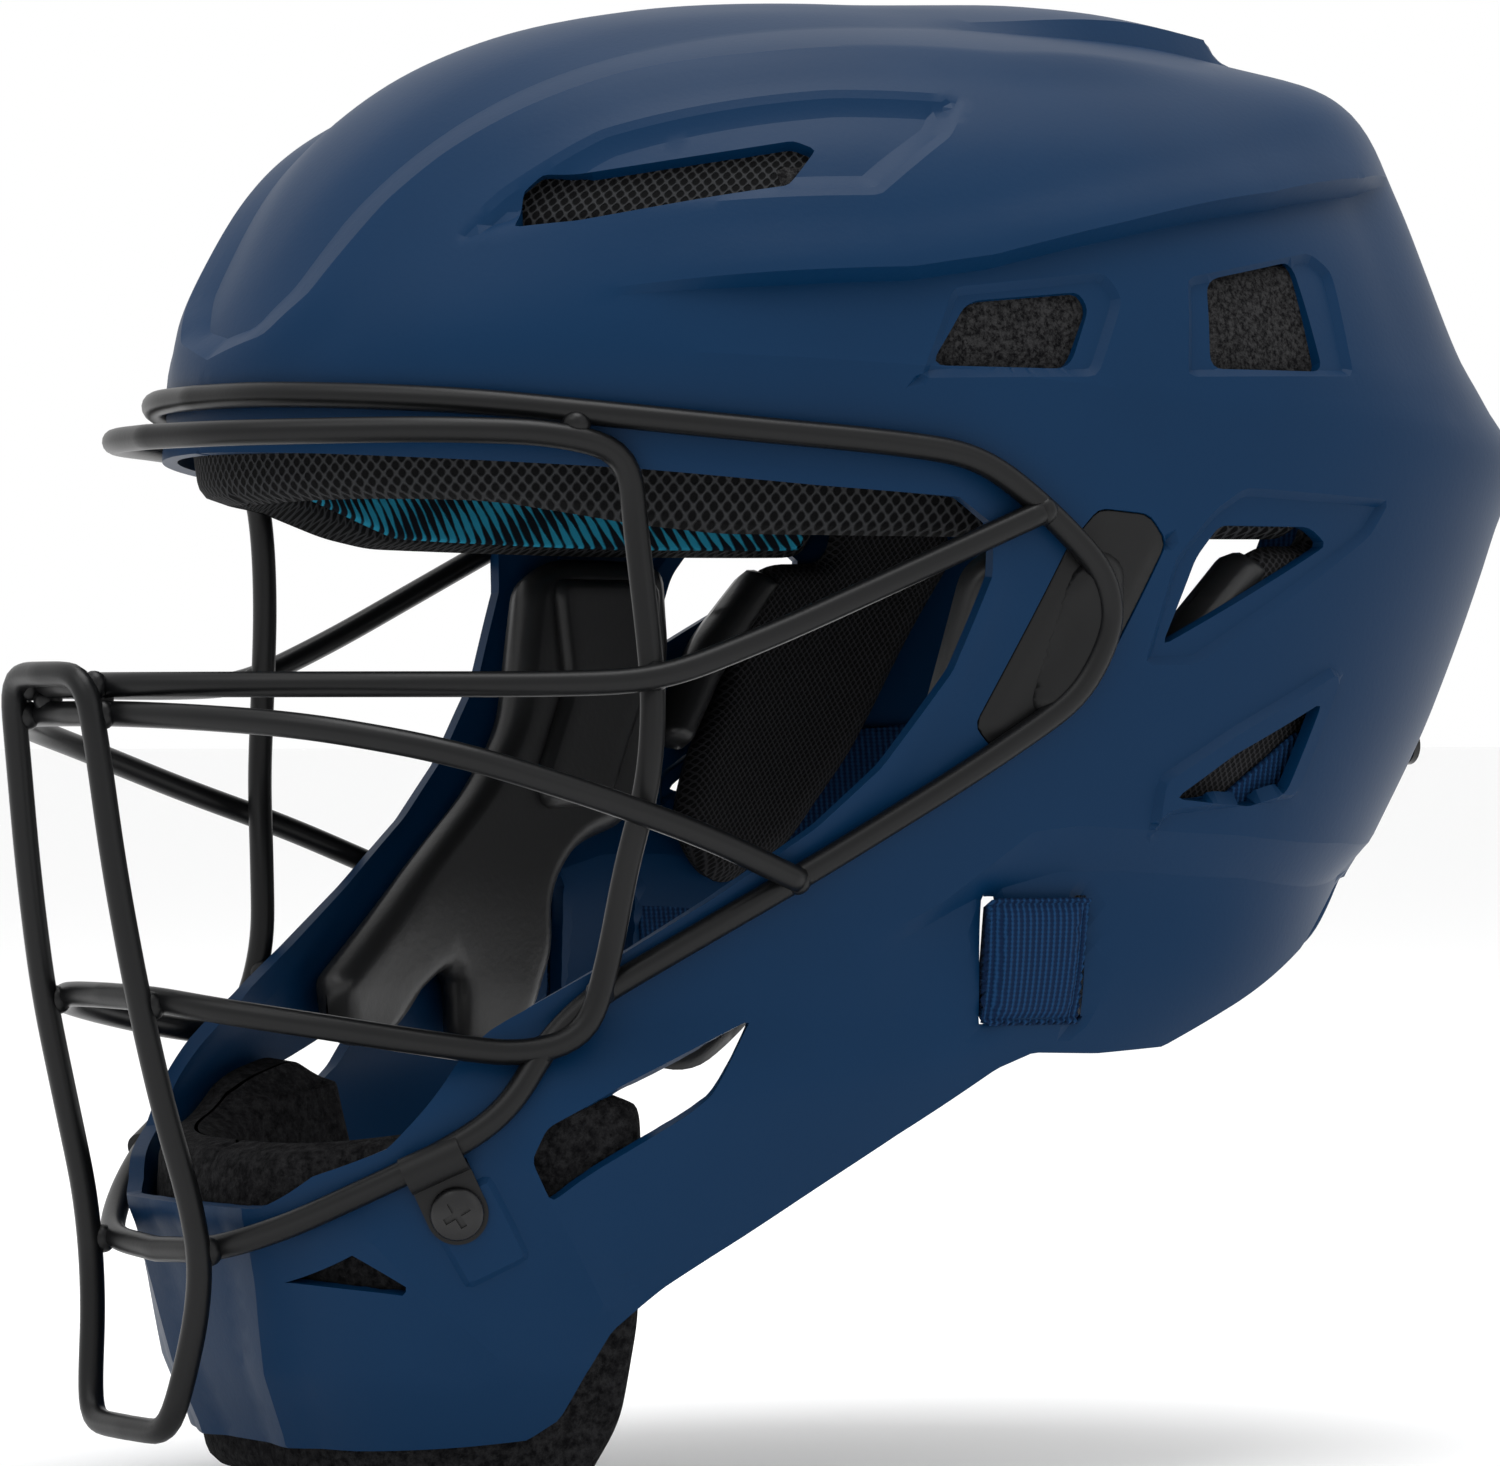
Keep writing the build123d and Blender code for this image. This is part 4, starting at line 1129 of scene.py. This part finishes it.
EDGE_TRACK = [
    (-118, 214.5), (-103, 213.5), (-84, 211.2), (-58, 208.3), (-33, 206), (-14, 203.6), (0.5, 193),
    (12.5, 181.5), (15.5, 172), (9.5, 157.5), (-11, 143.5), (-42, 123.5), (-64, 109.5), (-81, 98.5),
    (-89.5, 89.5), (-99, 76.5), (-111.8, 67.4), (-122, 60.5),
]


def cage_lines():
    """The five wires' lines, in outline millimetres."""
    perimeter = [(0, -133.5, 215.2), (22, -131, 215.2)]
    perimeter += [tuple(stood_off(y, z, STAND)) for y, z in EDGE_TRACK]
    perimeter += [(36, -132, 55), (22, -140.5, 50), (0, -141.5, 49)]
    centre = [
        (0, -166.3, 161), (16, -165.2, 161), (17.2, -163.2, 147), (18.6, -160.2, 123), (20.3, -156, 98.7),
        (20.8, -151, 78), (22.4, -146, 60), (23.4, -144, 48), (21.8, -144.3, 36), (18.9, -146.4, 22),
        (16, -147.6, 14.5), (0, -148, 14.5),
    ]
    brow = [
        (0, -143.5, 207.4), (22, -140.5, 207.4), (42, -127.5, 207.5), (58, -112.5, 207.6),
        (71.5, -94.5, 206.9), (75.8, -79.5, 203.5), (75, -77.8, 190), (76.4, -76.5, 175),
        (79, -75.8, 157), (78.6, -76.8, 140),
        (73.8, -78.8, 125), (69.8, -80.5, 106), (69.5, -85, 91.5), (63.5, -96, 88), (57.5, -112, 90.3),
        (47, -131, 93.8), (33, -146, 96.7), (19, -151.6, 98.5), (0, -152.6, 98.7),
    ]
    eye = [
        (0, -160.8, 158.9), (16, -159.6, 158.9), (40, -144, 158.9), (62, -121, 158.9), (76, -98, 158.9),
        (84.2, -78, 159.6), (89.5, -54, 169), tuple(stood_off(-1.2, 192.6, STAND + 1.0)),
    ]
    nose = [
        (0, -160.2, 153.4), (18, -159.2, 153.4), (40, -152, 152.6), (60, -140.5, 151), (76, -119, 146.3),
        (84, -91, 137.5), (84.5, -67, 129.8), tuple(stood_off(-44.5, 121.8, STAND + 1.5)),
    ]
    return {
        "cage_perimeter_wire": (perimeter, True), "cage_centre_loop": (centre, True),
        "cage_brow_loop": (brow, True), "cage_eye_bar": (eye, False), "cage_nose_bar": (nose, False),
    }


def welds(lines):
    """Weld fillets: short thick collars between wires where they touch, on the left."""
    spots = []
    names = list(lines)
    for first in range(len(names)):
        for second in range(first + 1, len(names)):
            a, b = lines[names[first]], lines[names[second]]
            gaps = np.linalg.norm(a[:, None] - b[None], axis=2)
            rows = np.argwhere(gaps < 2 * WIRE + 0.9)
            used = []
            for i, j in sorted(rows.tolist(), key=lambda r: gaps[r[0], r[1]]):
                middle = (a[i] + b[j]) / 2
                if all(np.linalg.norm(middle - other) > 14 for other in used):
                    used.append(middle)
                    spots.append((a[i], b[j]))
    return spots


def ball(centre, axes):
    """A stretched ball as vertices and faces."""
    mesh = bmesh.new()
    bmesh.ops.create_uvsphere(mesh, u_segments=16, v_segments=10, radius=1.0)
    verts = [np.array(centre) + axes @ np.array(v.co) for v in mesh.verts]
    faces = [[v.index for v in f.verts] for f in mesh.faces]
    mesh.free()
    return verts, faces


def joined(parts):
    """Several (vertices, faces) as one."""
    verts, faces = [], []
    for some_verts, some_faces in parts:
        offset = len(verts)
        verts += list(some_verts)
        faces += [[index + offset for index in face] for face in some_faces]
    return verts, faces


def build_cage():
    """The five wires and the weld beads between them."""
    lines, objects = {}, []
    for name, (points, ring) in cage_lines().items():
        left = wire_line(points)
        left[0][0] = 0.0
        lines[name] = left
        line = both_sides(left)
        if ring:
            line = line[:-1]
        verts, faces = tube(line, settings().wire_radius / MM, closed=ring)
        objects.append((name, new_object(name.capitalize(), to_metres(verts), faces)))
    beads = []
    for a, b in welds(lines):
        across = b - a
        across = across / max(np.linalg.norm(across), 1e-6)
        for sign in (1, -1):
            here = (a + b) / 2 * [sign, 1, 1]
            push = across * [sign, 1, 1]
            other = np.cross(push, (0.1, 0.2, 1.0))
            other /= np.linalg.norm(other)
            third = np.cross(push, other)
            axes = np.stack([push * BEAD_DEPTH, other * BEAD_WIDTH, third * BEAD_WIDTH], 1)
            beads.append(ball(here, axes))
    verts, faces = joined(beads)
    bead_object = new_object("Weld beads", to_metres(verts), faces)
    return objects, bead_object


# ------------------------------------------------------------------------------------------------
# Pads, straps and plates
# ------------------------------------------------------------------------------------------------
PAD_INSET = 4.8                         # from the shell's face to a pad's back
PAD_DEPTH = 11.0
PAD_EDGE = 5.0                          # how far in a pad's rim rounds over
PAD_MESH = 3.2

FOREHEAD = [
    (-190, 197), (-100, 193), (-60, 188), (10, 187.5), (66, 188), (70, 196), (68, 204.5), (-31, 204.5),
    (-31, 243), (-190, 243),
]
STRIP_BAND = [
    (-190, 199), (-100, 195), (-60, 190), (10, 189), (62, 189.5), (64, 195), (10, 203), (-46, 207), (-190, 212),
]
UPPER_SIDE = [(-29, 206), (98, 206), (98, 246.6), (-29, 246.6)]
EAR_PAD = [
    (53, 186.5), (72, 186.5), (74, 197), (97, 199), (104, 189), (92, 170), (76, 143), (56, 121), (36, 113),
    (27, 128), (33, 144), (44, 161),
]
CHEEK_STRIP = [(23, 147), (31, 143.5), (40, 158), (60, 182), (52, 186), (37, 170)]
JAW_PAD = [
    (-12, 182.5), (-2, 187), (28, 186.5), (28.5, 163.5), (21, 148), (15.5, 129), (-1, 124), (-10.5, 114),
    (-10, 101.5), (-19.5, 84), (-36, 82), (-39.5, 101), (-63, 87), (-74, 90.5), (-78, 99), (-60, 113),
    (-30.5, 136.5), (-19, 150.5),
]
JAW_PANEL = [(-7, 182), (24, 182), (23, 166), (6, 132), (-14, 131), (-15, 138), (-5, 158)]
CHIN_PAD = [
    (-190, 0), (-74, 0), (-66, 14), (-64, 36), (-70, 62), (-74, 80), (-84, 88), (-100, 84),
    (-112, 74), (-190, 62),
]


def crown_outline():
    """The middle crown pad, on the left of the middle plane."""
    line = [top_face(0.0, y) for y in np.linspace(-78, 112, 60)]
    line += [top_face(x, 112.0) for x in np.linspace(3, 24, 8)]
    line += [top_face(30.0, y) for y in np.linspace(106, -72, 60)]
    line += [top_face(x, -78.0) for x in np.linspace(24, 3, 8)]
    return np.array(line)


def crown_side_outline():
    """The pad beside the crown, behind the top slot."""
    low = [left_face(y, 248.0) for y in np.linspace(-104, 133, 90)]
    line = [p for p in low if p[0] > 34]
    high = [top_face(34.0, y) for y in np.linspace(120, -98, 80)]
    return np.array(line + [p for p in high if p[2] > 250])


def nape_outline():
    """The low pad behind the crown, on the left of the middle plane."""
    line = [back_face(x, 243.0) for x in np.linspace(0, 44, 20)]
    line += [back_face(44.0, z) for z in np.linspace(241, 218, 10)]
    line += [back_face(x, 216.0) for x in np.linspace(44, 0, 20)]
    return np.array(line)


def rear_block(half, low, high, corner):
    """A rounded block seen from behind, its left half as points on the back face."""
    turns = np.linspace(0, math.pi / 2, 8)
    line = [(x, high) for x in np.linspace(0, half - corner, 12)]
    line += [(half - corner + corner * math.sin(t), high - corner + corner * math.cos(t)) for t in turns]
    line += [(half, z) for z in np.linspace(high - corner, low + corner, 14)]
    line += [(half - corner + corner * math.cos(t), low + corner - corner * math.sin(t)) for t in turns]
    line += [(x, low) for x in np.linspace(half - corner, 0, 12)]
    return np.array([back_face(x, z) for x, z in line])


def screw_head(origin, direction, radius, height):
    """A domed screw head with a cross recess, standing on a point."""
    mesh = bmesh.new()
    rings, sides = 8, 32
    rows = []
    for ring in range(rings + 1):
        t = ring / rings * math.pi / 2
        size, rise = radius * math.cos(t), height * (0.35 + 0.65 * math.sin(t))
        if ring == rings:
            rows.append([mesh.verts.new((0, 0, rise))])
        else:
            turns = [2 * math.pi * k / sides for k in range(sides)]
            rows.append([mesh.verts.new((size * math.cos(a), size * math.sin(a), rise)) for a in turns])
    base = [mesh.verts.new((v.co.x, v.co.y, 0)) for v in rows[0]]
    rows.insert(0, base)
    for low, high in zip(rows[:-1], rows[1:]):
        for k in range(sides):
            n = (k + 1) % sides
            if len(high) == 1:
                mesh.faces.new((low[k], low[n], high[0]))
            else:
                mesh.faces.new((low[k], low[n], high[n], high[k]))
    mesh.faces.new(base[::-1])
    data = bpy.data.meshes.new("Head")
    mesh.to_mesh(data)
    mesh.free()
    obj = bpy.data.objects.new("Head", data)
    bpy.context.scene.collection.objects.link(obj)
    long, short = radius * 1.05, radius * 0.24
    for size in ((long, short, height * 1.1), (short, long, height * 1.1)):
        bpy.ops.mesh.primitive_cube_add(size=1, location=(0, 0, height * 1.05))
        cutter = bpy.context.object
        cutter.scale = size
        bpy.context.view_layer.update()
        cut = obj.modifiers.new("recess", "BOOLEAN")
        cut.object = cutter
        cut.operation = "DIFFERENCE"
        cut.solver = "EXACT"
        baked(obj)
        bpy.data.objects.remove(cutter)
    turn = Vector((0, 0, 1)).rotation_difference(Vector(direction)).to_matrix().to_4x4()
    obj.data.transform(Matrix.Translation(Vector(origin)) @ turn)
    obj.data.shade_smooth()
    obj.data.set_sharp_from_angle(angle=math.radians(40))
    return obj


def build_forehead():
    """The mesh pad over the brow and the printed strip on it."""
    pad = skin("Forehead pad", side_line(FOREHEAD, 2.0, 4.0), PAD_INSET, PAD_DEPTH, PAD_EDGE, PAD_MESH,
               middle=True, hump=1.0)
    strip = skin("Forehead strip", side_line(STRIP_BAND, 2.0, 2.0), PAD_INSET + PAD_DEPTH + 0.8, 1.6, 0.8,
                 middle=True)
    finish_piece(pad, look("open_mesh"), nodes=["forehead_pad"])
    finish_piece(strip, look("strip"), nodes=["forehead_strip"])


PATCH_SPOTS = [
    (-40, 256), (30, 262), (24.5, 229), (84, 229), (72, 162), (82, 182), (4, 172), (4, 139), (-70, 222),
]


def build_patches():
    """Hook-and-loop patches between the shell and the pads."""
    patches = []
    for y, z in PATCH_SPOTS:
        square = [(y - 6, z - 6), (y + 6, z - 6), (y + 6, z + 6), (y - 6, z + 6)]
        left = skin("Patch", side_line(square, 2.0, 1.0), 4.4, 1.2, 0.4, 4.0)
        patches += [left, right_copy(left, "Patch")]
    finish_piece(merge(patches, "Hook patches"), look("hook"), nodes=["hook_patches"])


def build_side_pads():
    """The pads that come in pairs."""
    specs = [
        ("Upper side pad", side_line(UPPER_SIDE, 2.0, 3.0), PAD_DEPTH, 3.5, "hook", "mesh_pad"),
        ("Ear pad", side_line(EAR_PAD, 2.0, 8.0), PAD_DEPTH, PAD_EDGE, "fine_mesh", "mesh_pad"),
        ("Cheek strip pad", side_line(CHEEK_STRIP, 2.0, 2.5), 12.0, 3.5, "moulded", "moulded_pad"),
        ("Jaw pad", side_line(JAW_PAD, 2.0, 6.0), 10.0, 4.5, "moulded", "moulded_pad"),
        ("Crown side pad", crown_side_outline(), PAD_DEPTH, PAD_EDGE, "open_mesh", "mesh_pad"),
    ]
    for name, outline, depth, edge, finish, slot in specs:
        node = name.lower().replace(" ", "_")
        left = skin(name + " left", outline, PAD_INSET, depth, edge, PAD_MESH)
        if node == "jaw_pad":
            panel = skin("Jaw panel", side_line(JAW_PANEL, 2.0, 4.0), PAD_INSET + depth - 2.5, 5.0, 2.5, 3.0)
            left = merge([left, panel], "Jaw pad left")
        for pad, side in ((left, "_left"), (right_copy(left, name + " right"), "_right")):
            finish_piece(pad, look(finish), nodes=[node + side])


def build_middle_pads():
    """The pads of the crown, nape and chin."""
    crown = skin("Crown pad", crown_outline(), PAD_INSET, PAD_DEPTH, PAD_EDGE, PAD_MESH, middle=True)
    nape = skin("Nape pad", nape_outline(), PAD_INSET, PAD_DEPTH, PAD_EDGE, PAD_MESH, middle=True)
    chin = skin("Chin pad", side_line(CHIN_PAD, 2.0, 5.0), PAD_INSET - 0.6, 14.0, 6.0, middle=True, hump=1.5)
    finish_piece(crown, look("open_mesh"), nodes=["crown_pad"])
    finish_piece(nape, look("open_mesh"), nodes=["nape_pad"])
    finish_piece(chin, look("terry"), nodes=["chin_pad"])


def build_back_plate():
    """The floating plate behind the head, with its pad."""
    plate = skin("Back plate", rear_block(46.0, 104.0, 166.0, 12.0), 0.0, 3.0, 1.2, middle=True)
    pad = skin("Back pad", rear_block(44.0, 106.0, 164.0, 11.0), 5.1, PAD_DEPTH, PAD_EDGE, middle=True)
    finish_piece(plate, look("shell"), "floating_plate", ["back_plate"])
    finish_piece(pad, look("open_mesh"), "floating_plate", ["back_pad"])


STRAP_INSET, STRAP_DEPTH, STRAP_EDGE = 3.4, 1.5, 0.75


def loop_sink(base, reach):
    """Turns a strap loop's ends down into the two slots."""
    within = ease((11.8 - np.abs(base[:, 2] - STRAP_MIDDLE)) / 1.0)
    return -3.2 * ease(1 - reach / 3.4) * within


def on_side(piece, sign):
    """The piece itself on the left, or its right-hand copy in its place."""
    if sign > 0:
        return piece
    right = right_copy(piece, piece.name)
    bpy.data.objects.remove(piece)
    return right


def stretched(strap, node):
    """Webbing that joins the helmet to the back plate: gives it its finish, hides its CAD part and bakes its
    transform.
    """
    strap.data.materials.append(look("webbing"))
    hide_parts(node)
    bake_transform(strap)


def build_straps():
    """The elastic straps that hold the back plate, with the loops that show on the shell."""
    low, high = STRAP_MIDDLE - STRAP_HALF, STRAP_MIDDLE + STRAP_HALF
    laid = side_line([(20, low), (76, 124), (190, 133), (190, 157), (66, 149), (20, high)], 2.0, 0)
    laid = laid[laid[:, 0] > 41.0]
    front, back = STRAP_SLOTS[0] - 1.2, STRAP_SLOTS[1] + 1.2
    outline = side_line([(front, low), (back, low), (back, high), (front, high)], 1.5, 1.0)
    for sign, side_name in ((1, "left"), (-1, "right")):
        run = skin("Side strap " + side_name, laid, STRAP_INSET, STRAP_DEPTH, STRAP_EDGE)
        loop = skin("Side strap loop " + side_name, outline, -1.0, STRAP_DEPTH, 1.2, 2.0, raise_by=loop_sink)
        stretched(on_side(run, sign), "side_strap_" + side_name)
        finish_piece(on_side(loop, sign), look("webbing"))
    line = [back_face(16.0, z) for z in np.arange(152, 232, 2.0)]
    line += [back_face(x, 232.0) for x in np.linspace(17, 35, 8)]
    line += [back_face(36.0, z) for z in np.arange(230, 151, -2.0)]
    line += [back_face(x, 152.0) for x in np.linspace(35, 17, 8)]
    for sign, side_name in ((1, "left"), (-1, "right")):
        strap = skin("Rear strap " + side_name, line, STRAP_INSET, STRAP_DEPTH, STRAP_EDGE, 2.5)
        stretched(on_side(strap, sign), "rear_strap_" + side_name)


TEMPLE_BLOCK = [(-1, 154.5), (2, 167), (6.5, 181), (12.5, 186), (18, 183), (18.5, 172), (12, 158), (5, 151.5)]


def build_temple_plates():
    """The recessed plates behind the eyes, each with a block that clamps the perimeter wire."""
    wire = wire_line(cage_lines()["cage_perimeter_wire"][0])

    def plate_rise(base, reach):
        return 0.9 * ease((reach - 1.2) / 2.0)

    def block_rise(base, reach):
        return 0.7 + 2.6 * ease(1.25 - distance_to(base, wire) / 8) * ease(reach / 2)

    plate = skin("Temple plate", side_line(TEMPLE_RECESS, 1.2, 2.0), 0.0, 1.6, 0.7, 2.0, raise_by=plate_rise)
    block = skin("Temple block", side_line(TEMPLE_BLOCK, 1.2, 3.0), -0.4, 1.2, 0.8, 1.6, raise_by=block_rise)
    left = merge([plate, block], "Temple plate left")
    right = right_copy(left, "Temple plate right")
    finish_piece(left, look("black_plastic"), nodes=["temple_plate_left", "temple_screws"])
    finish_piece(right, look("black_plastic"), nodes=["temple_plate_right"])


def merge(objects, name):
    """Several mesh objects as one."""
    mesh = bmesh.new()
    for obj in objects:
        mesh.from_mesh(obj.data)
    merged = bpy.data.meshes.new(name)
    mesh.to_mesh(merged)
    mesh.free()
    for obj in objects:
        bpy.data.objects.remove(obj)
    merged.shade_smooth()
    result = bpy.data.objects.new(name.replace(" ", "_"), merged)
    bpy.context.scene.collection.objects.link(result)
    return result


CHIN_SCREW = (-106.5, 58.0)
HEAD_RADIUS, HEAD_HEIGHT = 0.0052, 0.0027


def build_fasteners():
    """Heads of the chin screws."""
    share, height = places_of(left_face(*CHIN_SCREW)[None])
    direction = face_normals(share, height)[0]
    left = screw_head(to_metres(stood_off(*CHIN_SCREW, 1.5)), direction, HEAD_RADIUS, HEAD_HEIGHT)
    heads = merge([left, right_copy(left, "Chin screw right")], "Chin screws")
    heads.data.set_sharp_from_angle(angle=math.radians(40))
    finish_piece(heads, look("screw"), nodes=["chin_screws"])


# CAD pieces that are shown as they are
KEPT_NODES = {
    "chin_nuts": "screw", "dome_rivets": "screw", "plate_rivets": "screw",
    "chin_clip_left": "black_plastic", "chin_clip_right": "black_plastic",
}


# ------------------------------------------------------------------------------------------------
# Operators
# ------------------------------------------------------------------------------------------------
class HelmetSettings(bpy.types.PropertyGroup):
    """Sizes that can be changed before the pieces are built."""
    wall: bpy.props.FloatProperty(
        name="Wall", description="Thickness of the shell", default=3 * MM, min=1 * MM, unit="LENGTH")
    wire_radius: bpy.props.FloatProperty(
        name="Wire radius", description="Radius of the cage wire with its coat", default=WIRE * MM, min=1 * MM,
        unit="LENGTH")
    floor_colour: bpy.props.FloatVectorProperty(
        name="Floor colour", description="Colour of the floor", default=(0.95, 0.95, 0.95), size=3,
        subtype="COLOR", min=0, max=1)
    camera_turn: bpy.props.FloatProperty(
        name="Camera turn", description="Turn of the camera from straight left towards the front",
        default=math.radians(32), subtype="ANGLE")
    camera_reach: bpy.props.FloatProperty(
        name="Camera reach", description="Distance from the camera to the helmet", default=1.5, min=0.3,
        unit="LENGTH")
    lens: bpy.props.FloatProperty(
        name="Lens", description="Focal length of the camera in millimetres", default=175.6, min=10)


class HELMET_OT_shell(bpy.types.Operator):
    """Builds the vented shell"""
    bl_idname = "helmet.shell"
    bl_label = "Shell"

    def execute(self, context):
        finish_piece(build_shell(), look("shell"), nodes=["shell"])
        return {"FINISHED"}


class HELMET_OT_cage(bpy.types.Operator):
    """Builds the wire cage and its welds"""
    bl_idname = "helmet.cage"
    bl_label = "Cage"

    def execute(self, context):
        wires, beads = build_cage()
        for name, obj in wires:
            finish_piece(obj, look("wire"), nodes=[name])
        finish_piece(beads, look("wire"))
        return {"FINISHED"}


class HELMET_OT_pads(bpy.types.Operator):
    """Builds the foam lining"""
    bl_idname = "helmet.pads"
    bl_label = "Pads"

    def execute(self, context):
        build_forehead()
        build_side_pads()
        build_middle_pads()
        build_patches()
        return {"FINISHED"}


class HELMET_OT_plates(bpy.types.Operator):
    """Builds the temple plates, the back plate and the fasteners"""
    bl_idname = "helmet.plates"
    bl_label = "Plates and fasteners"

    def execute(self, context):
        build_temple_plates()
        build_back_plate()
        build_fasteners()
        for node, finish in KEPT_NODES.items():
            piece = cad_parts[node]
            piece.data.materials.clear()
            piece.data.materials.append(look(finish))
        return {"FINISHED"}


class HELMET_OT_straps(bpy.types.Operator):
    """Builds the elastic straps"""
    bl_idname = "helmet.straps"
    bl_label = "Straps"

    def execute(self, context):
        build_straps()
        return {"FINISHED"}


FLOOR_SIZE = 120
CAMERA_TARGET = (0, -0.0009, 0.14965)


def area_light(name, place, aim, size, power):
    """A soft rectangular light turned towards a point."""
    data = bpy.data.lights.new(name, "AREA")
    data.shape = "RECTANGLE"
    data.size, data.size_y = size
    data.energy = power
    light = bpy.data.objects.new(name, data)
    light.location = place
    light.rotation_euler = (Vector(aim) - Vector(place)).to_track_quat("-Z", "Y").to_euler()
    bpy.context.scene.collection.objects.link(light)
    return light


class HELMET_OT_stage(bpy.types.Operator):
    """Sets up the floor, the light and the camera"""
    bl_idname = "helmet.stage"
    bl_label = "Stage"

    def execute(self, context):
        scene, chosen = context.scene, settings()
        bpy.ops.mesh.primitive_plane_add(size=FLOOR_SIZE, location=(0, 0, 0))
        floor = context.object
        floor.name = "Floor"
        floor.data.materials.append(material("Pale floor", tuple(chosen.floor_colour), 0.9, 0.02))
        world = scene.world or bpy.data.worlds.new("Studio")
        scene.world = world
        world.use_nodes = True
        sky = world.node_tree.nodes["Background"]
        sky.inputs["Color"].default_value = (1.0, 1.0, 1.0, 1)
        sky.inputs["Strength"].default_value = 1.0
        lights = [
            area_light("Key", (0.5, -1.5, 2.0), (0, 0, 0.2), (1.5, 1.1), 9),
            area_light("Top", (0.1, 0.1, 2.2), (0, 0, 0.2), (1.6, 1.2), 26),
            area_light("Side", (2.0, 0.4, 0.9), (0, 0, 0.15), (1.0, 1.4), 2),
        ]
        turn = chosen.camera_turn
        target = Vector(CAMERA_TARGET)
        camera_data = bpy.data.cameras.new("Camera")
        camera_data.lens = chosen.lens
        camera_data.sensor_width = 36
        camera = bpy.data.objects.new("Camera", camera_data)
        camera.location = target + chosen.camera_reach * Vector((math.cos(turn), -math.sin(turn), 0))
        camera.rotation_euler = (target - camera.location).to_track_quat("-Z", "Y").to_euler()
        scene.collection.objects.link(camera)
        scene.camera = camera
        scene.view_settings.view_transform = "Standard"
        return {"FINISHED"}


class HELMET_PT_panel(bpy.types.Panel):
    """The buttons in the 3D view's sidebar"""
    bl_idname = "HELMET_PT_panel"
    bl_label = "Catcher's helmet"
    bl_space_type = "VIEW_3D"
    bl_region_type = "UI"
    bl_category = "Helmet"

    def draw(self, context):
        column = self.layout.column()
        for name in STEPS:
            column.operator("helmet." + name)
        for name in HelmetSettings.__annotations__:
            column.prop(context.scene.helmet, name)


STEPS = ("shell", "cage", "pads", "plates", "straps", "stage")
CLASSES = (
    HelmetSettings, HELMET_OT_shell, HELMET_OT_cage, HELMET_OT_pads, HELMET_OT_plates, HELMET_OT_straps,
    HELMET_OT_stage, HELMET_PT_panel,
)


def register():
    for item in CLASSES:
        bpy.utils.register_class(item)
    bpy.types.Scene.helmet = bpy.props.PointerProperty(type=HelmetSettings)


def unregister():
    del bpy.types.Scene.helmet
    for item in reversed(CLASSES):
        bpy.utils.unregister_class(item)


def main():
    register()
    for name in STEPS:
        getattr(bpy.ops.helmet, name)()


if __name__ == "__main__":
    main()
